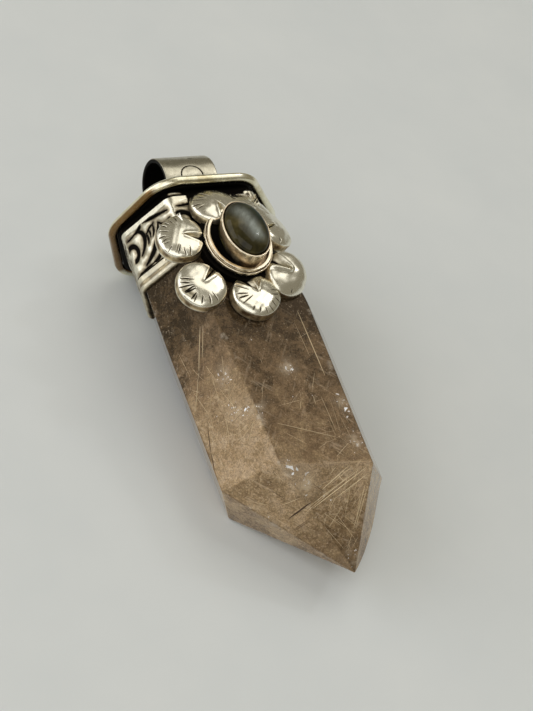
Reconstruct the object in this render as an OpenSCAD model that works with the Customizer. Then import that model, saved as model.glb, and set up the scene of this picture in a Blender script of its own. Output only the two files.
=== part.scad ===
// Quartz pendant: a six-sided quartz point in a soldered silver cap, with a wire rim, a strap bail
// and a seven-petalled flower that carries an oval cabochon.
// It lies on its back. X runs across it, Y runs along it toward the bail, and Z is up.

/* [Crystal] */
// Width of the front face at the shoulder
front_w = 11.1; // [10:0.1:13]
// Width of the left face beside the front
left_front_w = 7.7; // [7:0.1:9]
// Slope of that face, in degrees below the front
left_slope = 59; // [55:1:64]
// Width of the left face at the back
left_back_w = 7.2; // [6.5:0.1:8]
// Slope of that face, in degrees
left_back_slope = 64; // [58:1:66]
// Width of the right face beside the front
right_front_w = 10.0; // [9:0.1:11]
// Slope of that face, in degrees below the front
right_slope = 54; // [52:1:60]
// How far the front left edge leans outward on its way to the cap
left_lean = 0.7; // [0:0.05:1]
// How much the right side is ground in where the cap holds it
right_trim = 1.4; // [0:0.1:1.5]
// Length of the point beyond the shoulder
tip_len = 11.3; // [9:0.1:14]
// Sideways place of the tip, from the middle of the front face
tip_side = 2.0; // [-2:0.1:3]
// Depth of the tip below the front face
tip_depth = 6.2; // [5:0.1:8]

/* [Cap] */
// Distance from the shoulder to the open lower edge of the cap
cap_start = 26.8; // [25:0.1:30]
// Height of the decorated band
band_h = 7.8; // [7:0.1:9]
// Thickness of the sheet that the band is made of
sheet_t = 0.25; // [0.2:0.05:0.4]
// Height of the mouldings and scrolls above the sheet
relief_h = 0.25; // [0.2:0.05:0.4]
// Bend radius at the corners of the band
band_r = 1.2; // [0.8:0.1:1.4]
// Thickness of the top plate
plate_t = 1.0; // [0.8:0.1:1.3]
// Distance from the crystal's faces to the middle of the rim wire
rim_out = 1.2; // [1.1:0.05:1.5]
// Bend radius at the corners of the rim
rim_r = 3.8; // [3:0.1:4]
// How much further back the rim and its plate reach than the cap's band
rim_back = 2.8; // [1:0.1:3]
// Diameter of the rim wire
wire_d = 1.05; // [0.9:0.05:1.2]

/* [Bail] */
// Outer diameter of the strap loop
bail_d = 7.0; // [6:0.1:8]
// Thickness of the strap
strap_t = 0.55; // [0.5:0.05:0.8]
// Width of the strap
strap_w = 6.8; // [6:0.1:8]
// Sideways place of the bail
bail_side = -0.9; // [-1.5:0.1:1.5]
// Depth of the loop's middle below the front face
bail_depth = 5.3; // [4.5:0.1:8]

/* [Flower] */
// Width of a petal, around the flower
petal_w = 6.0; // [5.4:0.1:6.4]
// Length of a petal, outward from the flower's middle
petal_l = 5.6; // [5:0.1:6]
// Height of a petal's upright edge
petal_edge = 1.2; // [1:0.05:1.4]
// Height of a petal's dome above that edge
petal_dome = 0.5; // [0.3:0.05:0.7]
// Distance from the shoulder to the flower's middle
flower_y = 26.8; // [26:0.1:27.5]
// Sideways place of the flower
flower_side = -0.9; // [-1.2:0.1:0]

/* [Setting] */
// Length of the cabochon, along the pendant
stone_l = 7.0; // [6:0.1:7.4]
// Width of the cabochon
stone_w = 5.0; // [4.4:0.1:5.4]
// Height of the cabochon's dome above the bezel's lip
stone_dome = 1.2; // [0.8:0.1:1.6]
// Height of the bezel cup above its base ring
cup_h = 2.0; // [1.5:0.1:2.5]
// Length of the base ring
ring_l = 9.0; // [8.8:0.1:9.4]
// Width of the base ring
ring_w = 8.2; // [7.8:0.1:8.4]
// Sideways place of the setting, from the flower's middle
setting_side = 0.2; // [0:0.1:0.4]
// Place of the setting along the pendant, from the flower's middle
setting_y = 0.2; // [0:0.1:0.4]

/* [Hidden] */

// Room for the cement between the crystal and the band, and for the solder between pieces of metal
seat_gap = 0.04;
hair = 0.02;

// The six corners of the crystal at its shoulder, counterclockwise from the right, as [side, height]
function along_slope(len, slope) = len * [cos(slope), -sin(slope)];
right_corner = [front_w / 2, 0] + along_slope(right_front_w, right_slope);
left_corner = [-front_w / 2, 0] - along_slope(left_front_w, -left_slope);
back_left = left_corner + along_slope(left_back_w, left_back_slope);
depth = -back_left.y;
back_right = [right_corner.x - (depth + right_corner.y) / tan(60), -depth];
shoulder = [right_corner, [front_w / 2, 0], [-front_w / 2, 0], left_corner, back_left, back_right];

// The same corners where the crystal starts to be ground in, and where the cap holds it
neck = shoulder + [[0.3, 0], [0.3, 0], [-left_lean, 0], [-0.15, 0], [-0.15, 0], [0, 0]];
seat = shoulder + [[-right_trim, 0], [-right_trim, 0], [-left_lean, 0], [0, 0], [0, 0], [-0.3, 0]];
neck_y = 20;

// The corners that the rim and its plate follow
rim = seat + [[0.2, 0], [-0.5, 0.25], [-0.3, 0.4], [0.2, -0.6], [0.9, -rim_back], [0, -rim_back]];

// How far each corner's edge runs past or stops short of the shoulder line, in the same order
edge_y = [-0.4, -1.7, 0, 0.9, 0.2, 0.2];

// The band's mouldings, as [start, end] from the cap's lower edge, and the bare collar above them
band_top = cap_start + band_h;
LOWER_MOULDINGS = [[0, 0.7], [0.9, 1.7]];
upper_moulding_h = 1.2;
collar_h = 0.8;
band_out = seat_gap + sheet_t + relief_h;

plate_y = band_top + collar_h;
wire_y = plate_y + plate_t / 2;
crystal_top = plate_y - 0.1;
bail_y = plate_y + plate_t + hair + bail_d / 2;
bail_foot_w = 2.6;
bail_foot_h = 0.9;

// The flower's underside, its petals' notches and the plate that joins them
petal_base = 0.12;
notch_w = 1.4;
core_h = 1.0;
core_margin = 0.4;

// The base ring is stepped once, with a gutter between it and the bezel's wall
ring_base = petal_base + petal_edge;
ring_h = 0.85;
ring_step_h = 0.47;
ring_step_w = 0.2;
ring_wall = 0.6;
ring_floor = 0.25;
bezel_wall = 0.3;

// Each petal, as [direction from the flower's middle, distance to its middle, outward droop, rise of its
// inner end]: those on the right and at the top lean outward over the crystal's edge and the band
PETALS = [
    [99, 5.3, 16, 1.1],
    [161, 6.3, 10, 0],
    [217, 7.1, 10, 0],
    [270, 6.75, 0, 0],
    [319, 6.45, 20, 0.85],
    [20, 5.7, 26, 1.2],
    [52, 5.7, 20, 0.9]
];

function unit(v) = v / norm(v);
function outward(a, b) = let (u = unit(b - a)) [u.y, -u.x];

// How far, and which way, corner i of an outline moves when its sides move outward by 1
function mitre(pts, i) = let (
    n = len(pts),
    m = outward(pts[(i + n - 1) % n], pts[i]),
    k = outward(pts[i], pts[(i + 1) % n])
) (m + k) / (1 + m * k);

// The pose on the floor: the wire's back and the back shoulder edge both touch it
pose_dy = wire_y - edge_y[4];
pose_dz = -rim_out - rim_back;
pose_tilt = asin(wire_d / 2 / norm([pose_dy, pose_dz])) - atan2(pose_dz, pose_dy);
pose_lift = depth * cos(pose_tilt) - edge_y[4] * sin(pose_tilt);
tip_reach = -tip_len * cos(pose_tilt) + tip_depth * sin(pose_tilt);
bail_reach = bail_y * cos(pose_tilt) + bail_depth * sin(pose_tilt) + bail_d / 2;
right_reach = max(neck[0].x, (rim[0] + (rim_out - rim_r) * mitre(rim, 0)).x + rim_r + wire_d / 2);
left_reach = (rim[3] + (rim_out - rim_r) * mitre(rim, 3)).x - rim_r - wire_d / 2;

// A counterclockwise outline moved outward by a distance, with its corners rounded
function rounded(pts, out, r, steps = 6) = let (n = len(pts)) [
    for (i = [0 : n - 1])
        let (
            m = outward(pts[(i + n - 1) % n], pts[i]),
            k = outward(pts[i], pts[(i + 1) % n]),
            mid = pts[i] + (out - r) * mitre(pts, i),
            from = atan2(m.y, m.x),
            turn = (atan2(k.y, k.x) - from + 360) % 360
        )
        for (s = [0 : steps])
            mid + r * [cos(from + turn * s / steps), sin(from + turn * s / steps)]
];

function oval(a, b, n = 48) = [for (i = [0 : n - 1]) [a * cos(360 * i / n), b * sin(360 * i / n)]];

// Triangles that join ring number a to ring number b, each of n points
function joined(n, a, b) = [
    for (i = [0 : n - 1])
        let (j = (i + 1) % n)
        each [[a * n + i, b * n + j, a * n + j], [a * n + i, b * n + i, b * n + j]]
];

// A stroke of ornament: a centre line thickened to a width that swells from its ends
function swell(t, thin, wide) = thin + (wide - thin) * sin(180 * t);
function stroke(line, thin, wide) = let (
    n = len(line),
    side = [
        for (i = [0 : n - 1])
            let (d = unit(line[min(i + 1, n - 1)] - line[max(i - 1, 0)]))
            swell(i / (n - 1), thin, wide) / 2 * [-d.y, d.x]
    ]
) concat([for (i = [0 : n - 1]) line[i] + side[i]], [for (i = [n - 1 : -1 : 0]) line[i] - side[i]]);

// Stands a flat outline of [side, height] up along the pendant, from y0 to y1
module along(y0, y1) {
    translate([0, y1, 0]) rotate([90, 0, 0]) linear_extrude(y1 - y0) children();
}

// Lays the whole pendant on the floor, with the origin under the middle of its box
module lying() {
    translate([-(right_reach + left_reach) / 2, -(tip_reach + bail_reach) / 2, pose_lift])
        rotate([pose_tilt, 0, 0]) children();
}

// Puts flat ornament on one face of the band, with its own x across the face and y along the pendant
module on_face(i) {
    a = seat[i];
    b = seat[(i + 1) % 6];
    n = outward(a, b);
    mid = (a + b) / 2 + (seat_gap + sheet_t) * n;
    translate([mid.x, cap_start + band_h / 2, mid.y]) rotate([0, atan2(n.x, n.y), 0])
        translate([0, 0, -0.05]) linear_extrude(relief_h + 0.05) children();
}

// The strokes cut into the ornament, each as the four points of its curve and its widest width.
// They are drawn for a face 8.4 wide: a curl and a leaf with feathered notches, then smaller leaves.
CUTS = [
    [[-1.3, 2.9], [-0.7, 1.9], [-1.1, 0.6], [-2.3, -0.1], 0.42],
    [[-2.1, -1.5], [-0.4, -1.0], [0.8, 0.2], [1.6, 2.0], 0.44],
    [[-0.7, 1.1], [-0.6, 2.0], [0.2, 2.3], [1.0, 2.35], 0.26],
    [[-0.55, 1.7], [-0.5, 1.2], [-0.6, 0.8], [-0.75, 0.4], 0.2],
    [[0.1, 2.05], [0.1, 1.7], [0.0, 1.4], [-0.2, 1.1], 0.2],
    [[0.8, 2.15], [0.75, 1.7], [0.6, 1.4], [0.35, 1.1], 0.2],
    [[1.8, 2.2], [2.2, 1.3], [2.8, 1.3], [3.4, 1.6], 0.26],
    [[0.9, -1.3], [1.9, -0.7], [2.6, 0.1], [2.8, 1.0], 0.3],
    [[1.4, -1.9], [2.3, -1.5], [3.0, -0.8], [3.3, 0.2], 0.26],
    [[-0.9, -1.85], [-0.2, -1.9], [0.3, -1.7], [0.6, -1.1], 0.45]
];
EYE = [-3.4, 0.75];

function curve(c, t) =
    pow(1 - t, 3) * c[0] + 3 * t * pow(1 - t, 2) * c[1] + 3 * t * t * (1 - t) * c[2] + pow(t, 3) * c[3];

// The raised field of ornament on a face of width w, with a boss in a round recess at its left
module ornament(w) {
    k = (w - 0.9) / 8.4;
    difference() {
        translate([-4.2 * k, LOWER_MOULDINGS[1][1] + 0.1 - band_h / 2])
            square([8.4 * k, band_h - LOWER_MOULDINGS[1][1] - upper_moulding_h - 0.2]);
        scale([k, 1]) {
            for (c = CUTS) polygon(stroke([for (t = [0 : 6]) curve(c, t / 6)], 0.05, c[4]));
            polygon(stroke([for (t = [-80 : 23 : 150]) EYE + 0.9 * [cos(t), sin(t)]], 0.1, 0.45));
        }
    }
}

module crystal() {
    function ring(pts, y) = [for (p = pts) [p.x, y, p.y]];
    foot = [for (i = [0 : 5]) [shoulder[i].x, edge_y[i], shoulder[i].y]];
    tip = [tip_side, -tip_len, -tip_depth];
    color("rosybrown", 0.6) lying() polyhedron(
        points = concat(ring(seat, crystal_top), ring(seat, cap_start), ring(neck, neck_y), foot, [tip]),
        faces = concat(
            [[0, 1, 2, 3, 4, 5]],
            joined(6, 0, 1),
            joined(6, 1, 2),
            joined(6, 2, 3),
            [for (i = [0 : 5]) [18 + (i + 1) % 6, 18 + i, 24]]
        )
    );
}

// One moulding strip that goes all the way round the band
module moulding(y0, y1) {
    along(y0, y1) difference() {
        polygon(rounded(seat, band_out, band_r));
        polygon(rounded(seat, seat_gap, 0.1, 1));
    }
}

module cap() {
    color("silver") lying() {
        along(cap_start, plate_y + plate_t / 2) difference() {
            polygon(rounded(seat, seat_gap + sheet_t, band_r));
            polygon(rounded(seat, seat_gap, 0.1, 1));
        }
        along(plate_y, plate_y + plate_t)
            polygon(rounded(rim, rim_out - wire_d / 2 - hair, rim_r - wire_d / 2));
        for (m = LOWER_MOULDINGS) moulding(cap_start + m[0], cap_start + m[1]);
        moulding(band_top - upper_moulding_h, band_top);
        for (i = [0 : 5]) on_face(i) ornament(norm(seat[(i + 1) % 6] - seat[i]));
    }
}

module rim_wire() {
    sides = 10;
    path = rounded(rim, rim_out, rim_r);
    n = len(path);
    rings = [
        for (i = [0 : n - 1])
            let (
                m = outward(path[(i + n - 1) % n], path[i]) + outward(path[i], path[(i + 1) % n]),
                out = m / (m * m / 2)
            )
            for (k = [0 : sides - 1])
                let (a = 360 * k / sides, p = path[i] + wire_d / 2 * cos(a) * out)
                [p.x, wire_y + wire_d / 2 * sin(a), p.y]
    ];
    color("darkkhaki") lying() polyhedron(
        points = rings,
        faces = [for (i = [0 : n - 1]) each joined(sides, i, (i + 1) % n)]
    );
}

module bail() {
    color("gainsboro") lying() translate([bail_side, bail_y, -bail_depth]) difference() {
        union() {
            rotate([0, 90, 0]) cylinder(h = strap_w, d = bail_d, center = true, $fn = 64);
            translate([-strap_w / 2 + 0.4, -bail_d / 2, -bail_foot_w / 2])
                cube([strap_w - 0.8, bail_foot_h, bail_foot_w]);
        }
        rotate([0, 90, 0]) cylinder(h = strap_w + 2, d = bail_d - 2 * strap_t, center = true, $fn = 64);
    }
}

// A puffed disc with an upright edge, and a notch at the end that faces the flower's middle
module petal() {
    module disc(z, share, h) {
        translate([0, 0, z]) linear_extrude(h) polygon(oval(petal_l / 2 * share, petal_w / 2 * share, 30));
    }
    difference() {
        hull() {
            disc(0, 1, petal_edge);
            disc(petal_edge, 0.8, petal_dome * 0.55);
            disc(petal_edge, 0.4, petal_dome);
        }
        translate([0, 0, petal_edge * 0.5]) linear_extrude(petal_edge + petal_dome)
            polygon([[-petal_l * 0.6, -notch_w / 2], [-0.1, 0], [-petal_l * 0.6, notch_w / 2]]);
    }
}

// The room that the crystal and the band take up behind the flower
module behind_flower() {
    along(-tip_len, cap_start - hair) polygon(rounded(neck, 0.1, 0.2, 1));
    along(cap_start - hair, plate_y) polygon(rounded(seat, band_out + 0.03, band_r, 3));
}

// An oval as large as the base ring plus a margin all round
module pad(margin) {
    polygon(oval(ring_w / 2 + margin, ring_l / 2 + margin, 36));
}

module flower() {
    color("lightgray") lying() difference() {
        union() {
            difference() {
                for (p = PETALS) translate([flower_side, flower_y, petal_base + p[3]]) rotate([0, 0, p[0]])
                    translate([p[1] - petal_l / 2, 0, 0]) rotate([0, p[2], 0])
                        translate([petal_l / 2, 0, 0]) petal();
                on_setting(petal_base + core_h - 0.1) linear_extrude(2) pad(0.05);
            }
            on_setting(petal_base) linear_extrude(core_h) pad(core_margin);
            on_setting(petal_base) linear_extrude(petal_edge - hair) pad(-0.1);
        }
        behind_flower();
    }
}

// Puts something on the setting's own middle, at a height above the front face
module on_setting(z) {
    translate([flower_side + setting_side, flower_y + setting_y, z]) children();
}

module bezel() {
    color("silver") lying() on_setting(ring_base) {
        difference() {
            union() {
                linear_extrude(ring_step_h) polygon(oval(ring_w / 2, ring_l / 2));
                linear_extrude(ring_h) polygon(oval(ring_w / 2 - ring_step_w, ring_l / 2 - ring_step_w));
            }
            translate([0, 0, ring_floor]) linear_extrude(ring_h)
                polygon(oval(ring_w / 2 - ring_wall, ring_l / 2 - ring_wall));
        }
        difference() {
            linear_extrude(ring_h + cup_h)
                polygon(oval(stone_w / 2 + bezel_wall, stone_l / 2 + bezel_wall));
            translate([0, 0, ring_h]) linear_extrude(cup_h + 1)
                polygon(oval(stone_w / 2 + hair, stone_l / 2 + hair));
        }
    }
}

module cabochon() {
    color("darkslategray") lying() on_setting(ring_base + ring_h + hair) hull() {
        linear_extrude(cup_h) polygon(oval(stone_w / 2, stone_l / 2));
        for (a = [20 : 20 : 80]) translate([0, 0, cup_h + stone_dome * sin(a)]) linear_extrude(0.01)
            polygon(oval(stone_w / 2 * cos(a), stone_l / 2 * cos(a)));
    }
}

crystal();
cap();
rim_wire();
bail();
flower();
bezel();
cabochon();
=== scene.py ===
"""A quartz pendant that lies on its back: a smoky point in an ornamented silver cap, with a flower.

Every shape is worked out in flat coordinates in millimetres: x across the pendant, y along it toward
the bail with 0 at the crystal's shoulder, and z up with 0 at its front face. Resting lays it down.
"""

import functools
import logging
import math
from abc import ABC, abstractmethod
from dataclasses import dataclass, field
from enum import Enum

import bpy
import bmesh
import numpy as np
from mathutils import Matrix, Vector

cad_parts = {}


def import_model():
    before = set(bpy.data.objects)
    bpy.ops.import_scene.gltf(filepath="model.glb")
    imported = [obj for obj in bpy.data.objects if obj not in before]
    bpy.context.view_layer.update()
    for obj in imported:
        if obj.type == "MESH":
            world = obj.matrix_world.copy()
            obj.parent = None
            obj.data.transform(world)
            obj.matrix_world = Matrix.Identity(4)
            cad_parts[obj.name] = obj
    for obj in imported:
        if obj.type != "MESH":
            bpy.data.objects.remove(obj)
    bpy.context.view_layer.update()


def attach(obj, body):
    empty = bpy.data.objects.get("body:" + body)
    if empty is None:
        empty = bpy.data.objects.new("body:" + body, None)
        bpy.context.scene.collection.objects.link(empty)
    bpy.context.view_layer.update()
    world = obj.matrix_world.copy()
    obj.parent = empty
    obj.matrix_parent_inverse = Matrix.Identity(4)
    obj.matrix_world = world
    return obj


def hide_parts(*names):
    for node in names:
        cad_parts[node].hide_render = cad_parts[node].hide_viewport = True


LOG = logging.getLogger("pendant")
HAIR = 0.02  # millimetres between two pieces that are soldered together
SEAT_GAP = 0.04  # millimetres between the quartz and the band round it

Colour = Place = tuple[float, float, float]
Stop = tuple[float, Colour]
Socket = bpy.types.NodeSocket


# ---------------------------------------------------------------- shapes


def unit(v: np.ndarray) -> np.ndarray:
    """Vectors along the last axis, each divided by its length."""
    return v / np.maximum(np.linalg.norm(v, axis=-1, keepdims=True), 1e-12)


def smooth(t: np.ndarray) -> np.ndarray:
    """An S-shaped step from 0 to 1: three t squared less two t cubed."""
    t = np.clip(t, 0.0, 1.0)
    return t * t * (3.0 - 2.0 * t)


def strip(t: np.ndarray, start: float, end: float, soft: float) -> np.ndarray:
    """1 between start and end and 0 outside, with soft flanks."""
    return smooth((t - start) / soft) * smooth((end - t) / soft)


def filleted(line: np.ndarray, radius: float, steps: int = 5) -> np.ndarray:
    """An open line of points with each inner corner replaced by a small curve.

    Each corner C becomes (1-t)^2 A + 2t(1-t) C + t^2 B, where A and B lie a radius away on its sides.

    Args:
        line: The points, of shape (n, ...) with coordinates on the last axis.
        radius: How far from a corner its curve starts, at most 45% of the shorter side.
        steps: Points on each curve.

    Returns:
        The points of the softened line, in order.
    """
    before, corner, after = line[:-2], line[1:-1], line[2:]
    gap_a = np.linalg.norm(before - corner, axis=-1, keepdims=True)
    gap_b = np.linalg.norm(after - corner, axis=-1, keepdims=True)
    a = corner + unit(before - corner) * np.minimum(radius, 0.45 * gap_a)
    b = corner + unit(after - corner) * np.minimum(radius, 0.45 * gap_b)
    t = np.linspace(0.0, 1.0, steps).reshape((1, steps) + (1,) * (line.ndim - 1))
    a, b, c = a[:, None], b[:, None], corner[:, None]
    curve = (1 - t) ** 2 * a + 2 * t * (1 - t) * c + t**2 * b
    return np.concatenate([line[:1], curve.reshape((-1,) + line.shape[1:]), line[-1:]])


def bezier(c: np.ndarray, steps: int = 14) -> np.ndarray:
    """Cubic curves, each drawn by four control points.

    Args:
        c: The control points, of shape (k, 4, 2).
        steps: Points on each curve.

    Returns:
        The curves' points, of shape (k, steps, 2).
    """
    t = np.linspace(0.0, 1.0, steps)[None, :, None]
    p = [c[:, i, None, :] for i in range(4)]
    return (1 - t) ** 3 * p[0] + 3 * t * (1 - t) ** 2 * p[1] + 3 * t * t * (1 - t) * p[2] + t**3 * p[3]


def groove(points: np.ndarray, line: np.ndarray, width: float, taper: float = 0.35) -> np.ndarray:
    """How deep each point lies in a cut along a line: 1 on the line, falling to 0 at its flanks.

    The cut narrows to its ends: its width is multiplied by taper + (1 - taper) sin(pi t).

    Args:
        points: The places, of shape (..., 2).
        line: The line's points, of shape (n, 2).
        width: The cut's full width at its middle.
        taper: The share of the width that is left at the ends.

    Returns:
        The depth share of each place, of shape (...).
    """
    flat = points.reshape(-1, 1, 2)
    a, d = line[None, :-1], (line[1:] - line[:-1])[None]
    t = np.clip(((flat - a) * d).sum(-1) / np.maximum((d * d).sum(-1), 1e-9), 0, 1)
    gap = np.linalg.norm(flat - a - t[..., None] * d, axis=-1)
    along = (np.arange(len(line) - 1)[None] + t) / (len(line) - 1)
    half = 0.5 * width * (taper + (1 - taper) * np.sin(np.pi * along))
    return smooth(1.25 - 0.75 * (gap / half).min(axis=1)).reshape(points.shape[:-1])


def ripple(x: np.ndarray, y: np.ndarray, size: float, seed: int) -> np.ndarray:
    """Gentle unevenness from -1 to 1: the mean of four crossed sine waves about one size long.

    Args:
        x: The places' first coordinate.
        y: Their second coordinate, of a shape that goes with x.
        size: How long the waves are.
        seed: Makes the waves the same each time.

    Returns:
        The unevenness at each place.
    """
    rng = np.random.default_rng(seed)
    turn = rng.uniform(0, 2 * np.pi, (4, 2))
    k = 2 * np.pi / (size * rng.uniform(0.7, 1.4, 4))
    along = [x * np.cos(turn[i, 0]) + y * np.sin(turn[i, 0]) for i in range(4)]
    return np.mean([np.sin(k[i] * along[i] + turn[i, 1]) for i in range(4)], axis=0)


def signed_volume(grid: np.ndarray, quads: np.ndarray) -> float:
    """Six times the volume that a closed surface of quads holds: the sum of its corners' triple products.

    Args:
        grid: The surface's points, with coordinates on the last axis.
        quads: The points' numbers, four for each face.

    Returns:
        The sum, negative if the surface is inside out.
    """
    p = grid.reshape(-1, 3)[quads]
    first = np.einsum("ij,ij->i", p[:, 0], np.cross(p[:, 1], p[:, 2]))
    second = np.einsum("ij,ij->i", p[:, 0], np.cross(p[:, 2], p[:, 3]))
    return float(first.sum() + second.sum())


@dataclass
class Shell:
    """Closed grids of points, gathered into one piece, with marks that the finish reads."""

    name: str
    points: list[np.ndarray] = field(default_factory=list)
    quads: list[np.ndarray] = field(default_factory=list)
    marks: list[dict[str, np.ndarray]] = field(default_factory=list)

    def add(self, grid: np.ndarray, wrap_rows: bool = False, **marks: np.ndarray | float) -> None:
        """Adds a grid of shape (rows, columns, 3) whose columns run round a closed ring.

        Args:
            grid: The points in flat millimetres.
            wrap_rows: The last row joins the first one; otherwise both ends close at their middles.
            **marks: Numbers from 0 to 1 for each point, by name.
        """
        marks = {k: np.broadcast_to(v, grid.shape[:2]).astype(float) for k, v in marks.items()}
        if not wrap_rows:
            ends = [np.broadcast_to(grid[i].mean(0), grid[i].shape)[None] for i in (0, -1)]
            grid = np.concatenate([ends[0], grid, ends[1]])
            marks = {k: np.concatenate([v[:1], v, v[-1:]]) for k, v in marks.items()}
        rows, cols = grid.shape[:2]
        r = np.arange(rows if wrap_rows else rows - 1)[:, None]
        c = np.arange(cols)[None]
        r2, c2 = (r + 1) % rows, (c + 1) % cols
        quads = np.stack([r * cols + c, r * cols + c2, r2 * cols + c2, r2 * cols + c], -1).reshape(-1, 4)
        if signed_volume(grid, quads) < 0:
            quads = quads[:, ::-1]
        self.quads.append(quads + sum(len(p) for p in self.points))
        self.points.append(grid.reshape(-1, 3))
        self.marks.append({k: v.reshape(-1) for k, v in marks.items()})

    def mesh(self, pose: "Resting", sharp: float) -> bpy.types.Mesh:
        """Puts the points, faces and marks in a mesh, laid down, with its seams and poles merged.

        Args:
            pose: Turns flat millimetres into the frame's metres.
            sharp: Edges that turn by more than this many degrees stay crisp.

        Returns:
            The mesh.
        """
        points = pose.place(np.concatenate(self.points))
        quads = np.concatenate(self.quads).astype(np.int32)
        mesh = bpy.data.meshes.new(self.name)
        mesh.vertices.add(len(points))
        mesh.vertices.foreach_set("co", points.astype(np.float32).ravel())
        mesh.loops.add(quads.size)
        mesh.loops.foreach_set("vertex_index", quads.ravel())
        mesh.polygons.add(len(quads))
        mesh.polygons.foreach_set("loop_start", np.arange(0, quads.size, 4, dtype=np.int32))
        mesh.update(calc_edges=True)
        for name in sorted({k for m in self.marks for k in m}):
            values = [m.get(name, np.zeros(len(p))) for m, p in zip(self.marks, self.points)]
            layer = mesh.attributes.new(name, "FLOAT", "POINT")
            layer.data.foreach_set("value", np.concatenate(values).astype(np.float32))
        work = bmesh.new()
        work.from_mesh(mesh)
        bmesh.ops.remove_doubles(work, verts=work.verts, dist=2e-8)
        work.to_mesh(mesh)
        work.free()
        mesh.polygons.foreach_set("use_smooth", np.ones(len(mesh.polygons), dtype=bool))
        mesh.set_sharp_from_angle(angle=math.radians(sharp))
        return mesh

    def build(self, pose: "Resting", finish: "Finish", slot: str, node: str, sharp: float = 50.0) -> None:
        """Makes the object, dresses it and says what it stands for.

        Args:
            pose: Turns flat millimetres into the frame's metres.
            finish: The finish that the piece wears.
            slot: Not used.
            node: The solid that it stands for.
            sharp: Edges that turn by more than this many degrees stay crisp.
        """
        mesh = self.mesh(pose, sharp)
        mesh.materials.append(finish.material())
        piece = bpy.data.objects.new(self.name, mesh)
        bpy.context.scene.collection.objects.link(piece)
        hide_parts(node)
        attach(piece, "root")
        LOG.info("%s: %d faces, for %s", self.name, len(mesh.polygons), node)


# ---------------------------------------------------------------- sizes that the pieces share


@dataclass(frozen=True)
class Stone:
    """The quartz point's sizes: six sides and a six-sided tip, a little uneven.

    Widths and slopes in degrees are those of its sides, seen along it. "left_lean" and "right_trim" say
    how far its corners lean toward the cap, "rim_back" how far the cap's rim reaches past its back,
    "tip" where it ends, "neck_y" where it is ground in, and "edge_y" how high each corner's shoulder is.
    """

    front_w: float = 11.1
    left_front_w: float = 7.7
    left_slope: float = 59
    left_back_w: float = 7.2
    left_back_slope: float = 64
    right_front_w: float = 10.0
    right_slope: float = 54
    right_back_slope: float = 60
    left_lean: float = 0.7
    right_trim: float = 1.4
    rim_back: float = 2.8
    tip: tuple[float, float, float] = (2.0, -11.3, -6.2)
    neck_y: float = 20
    edge_y: tuple[float, ...] = (-0.4, -1.7, 0, 0.9, 0.2, 0.2)

    def foot(self) -> np.ndarray:
        """The six corners of the shoulder in space, each at its own level: (6, 3)."""
        return np.column_stack([self.shoulder()[:, 0], self.edge_y, self.shoulder()[:, 1]])

    def shoulder(self) -> np.ndarray:
        """The six corners at the shoulder: right, front right, front left, left, back left, back right.

        Returns:
            The corners as (side, height), of shape (6, 2).
        """

        def fall(length: float, slope: float) -> np.ndarray:
            """A step of that length down a slope of so many degrees."""
            return length * np.array([math.cos(math.radians(slope)), -math.sin(math.radians(slope))])

        right = np.array([self.front_w / 2, 0]) + fall(self.right_front_w, self.right_slope)
        left = np.array([-self.front_w / 2, 0]) - fall(self.left_front_w, -self.left_slope)
        back_left = left + fall(self.left_back_w, self.left_back_slope)
        low = back_left[1]
        inward = (right[1] - low) / math.tan(math.radians(self.right_back_slope))
        back_right = np.array([right[0] - inward, low])
        front = [[self.front_w / 2, 0], [-self.front_w / 2, 0]]
        return np.array([right, *front, left, back_left, back_right])

    def neck(self) -> np.ndarray:
        """The same corners where the crystal starts to be ground in."""
        lean = self.left_lean
        return self.shoulder() + np.array([[0.3, 0], [0.3, 0], [-lean, 0], [-0.15, 0], [-0.15, 0], [0, 0]])

    def seat(self) -> np.ndarray:
        """The same corners where the cap holds it."""
        trim, lean = self.right_trim, self.left_lean
        return self.shoulder() + np.array([[-trim, 0], [-trim, 0], [-lean, 0], [0, 0], [0, 0], [-0.3, 0]])

    def rim(self) -> np.ndarray:
        """The corners that the plate and the rim wire follow: they reach further back than the band.

        Returns:
            The six corners, across and down, in millimetres.
        """
        back = self.rim_back
        reach = [[0.2, 0], [-0.5, 0.25], [-0.3, 0.4], [0.2, -0.6], [0.9, -back], [0, -back]]
        return self.seat() + np.array(reach)


@dataclass(frozen=True)
class Levels:
    """Heights along the pendant, and the sizes of the wire, bail and ring, that several pieces share."""

    cap_start: float = 26.8
    band_h: float = 7.8
    collar_h: float = 0.8
    plate_t: float = 1.0
    rim_out: float = 1.2
    rim_r: float = 3.8
    wire_d: float = 1.05
    bail_d: float = 7.0
    bail_side: float = -0.9
    bail_depth: float = 5.3
    flower: tuple[float, float] = (-0.9, 26.8)
    setting: tuple[float, float] = (-0.7, 27.0)
    petal_base: float = 0.12
    petal_edge: float = 1.2
    ring: tuple[float, float] = (8.2, 9.0)
    ring_h: float = 0.85
    cup_h: float = 2.0

    @property
    def plate_y(self) -> float:
        """The underside of the cap's plate."""
        return self.cap_start + self.band_h + self.collar_h

    @property
    def wire_y(self) -> float:
        """The middle of the rim wire."""
        return self.plate_y + self.plate_t / 2

    @property
    def bail_y(self) -> float:
        """The middle of the bail's loop."""
        return self.plate_y + self.plate_t + HAIR + self.bail_d / 2

    @property
    def ring_base(self) -> float:
        """The underside of the base ring, above the front face."""
        return self.petal_base + self.petal_edge


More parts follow.
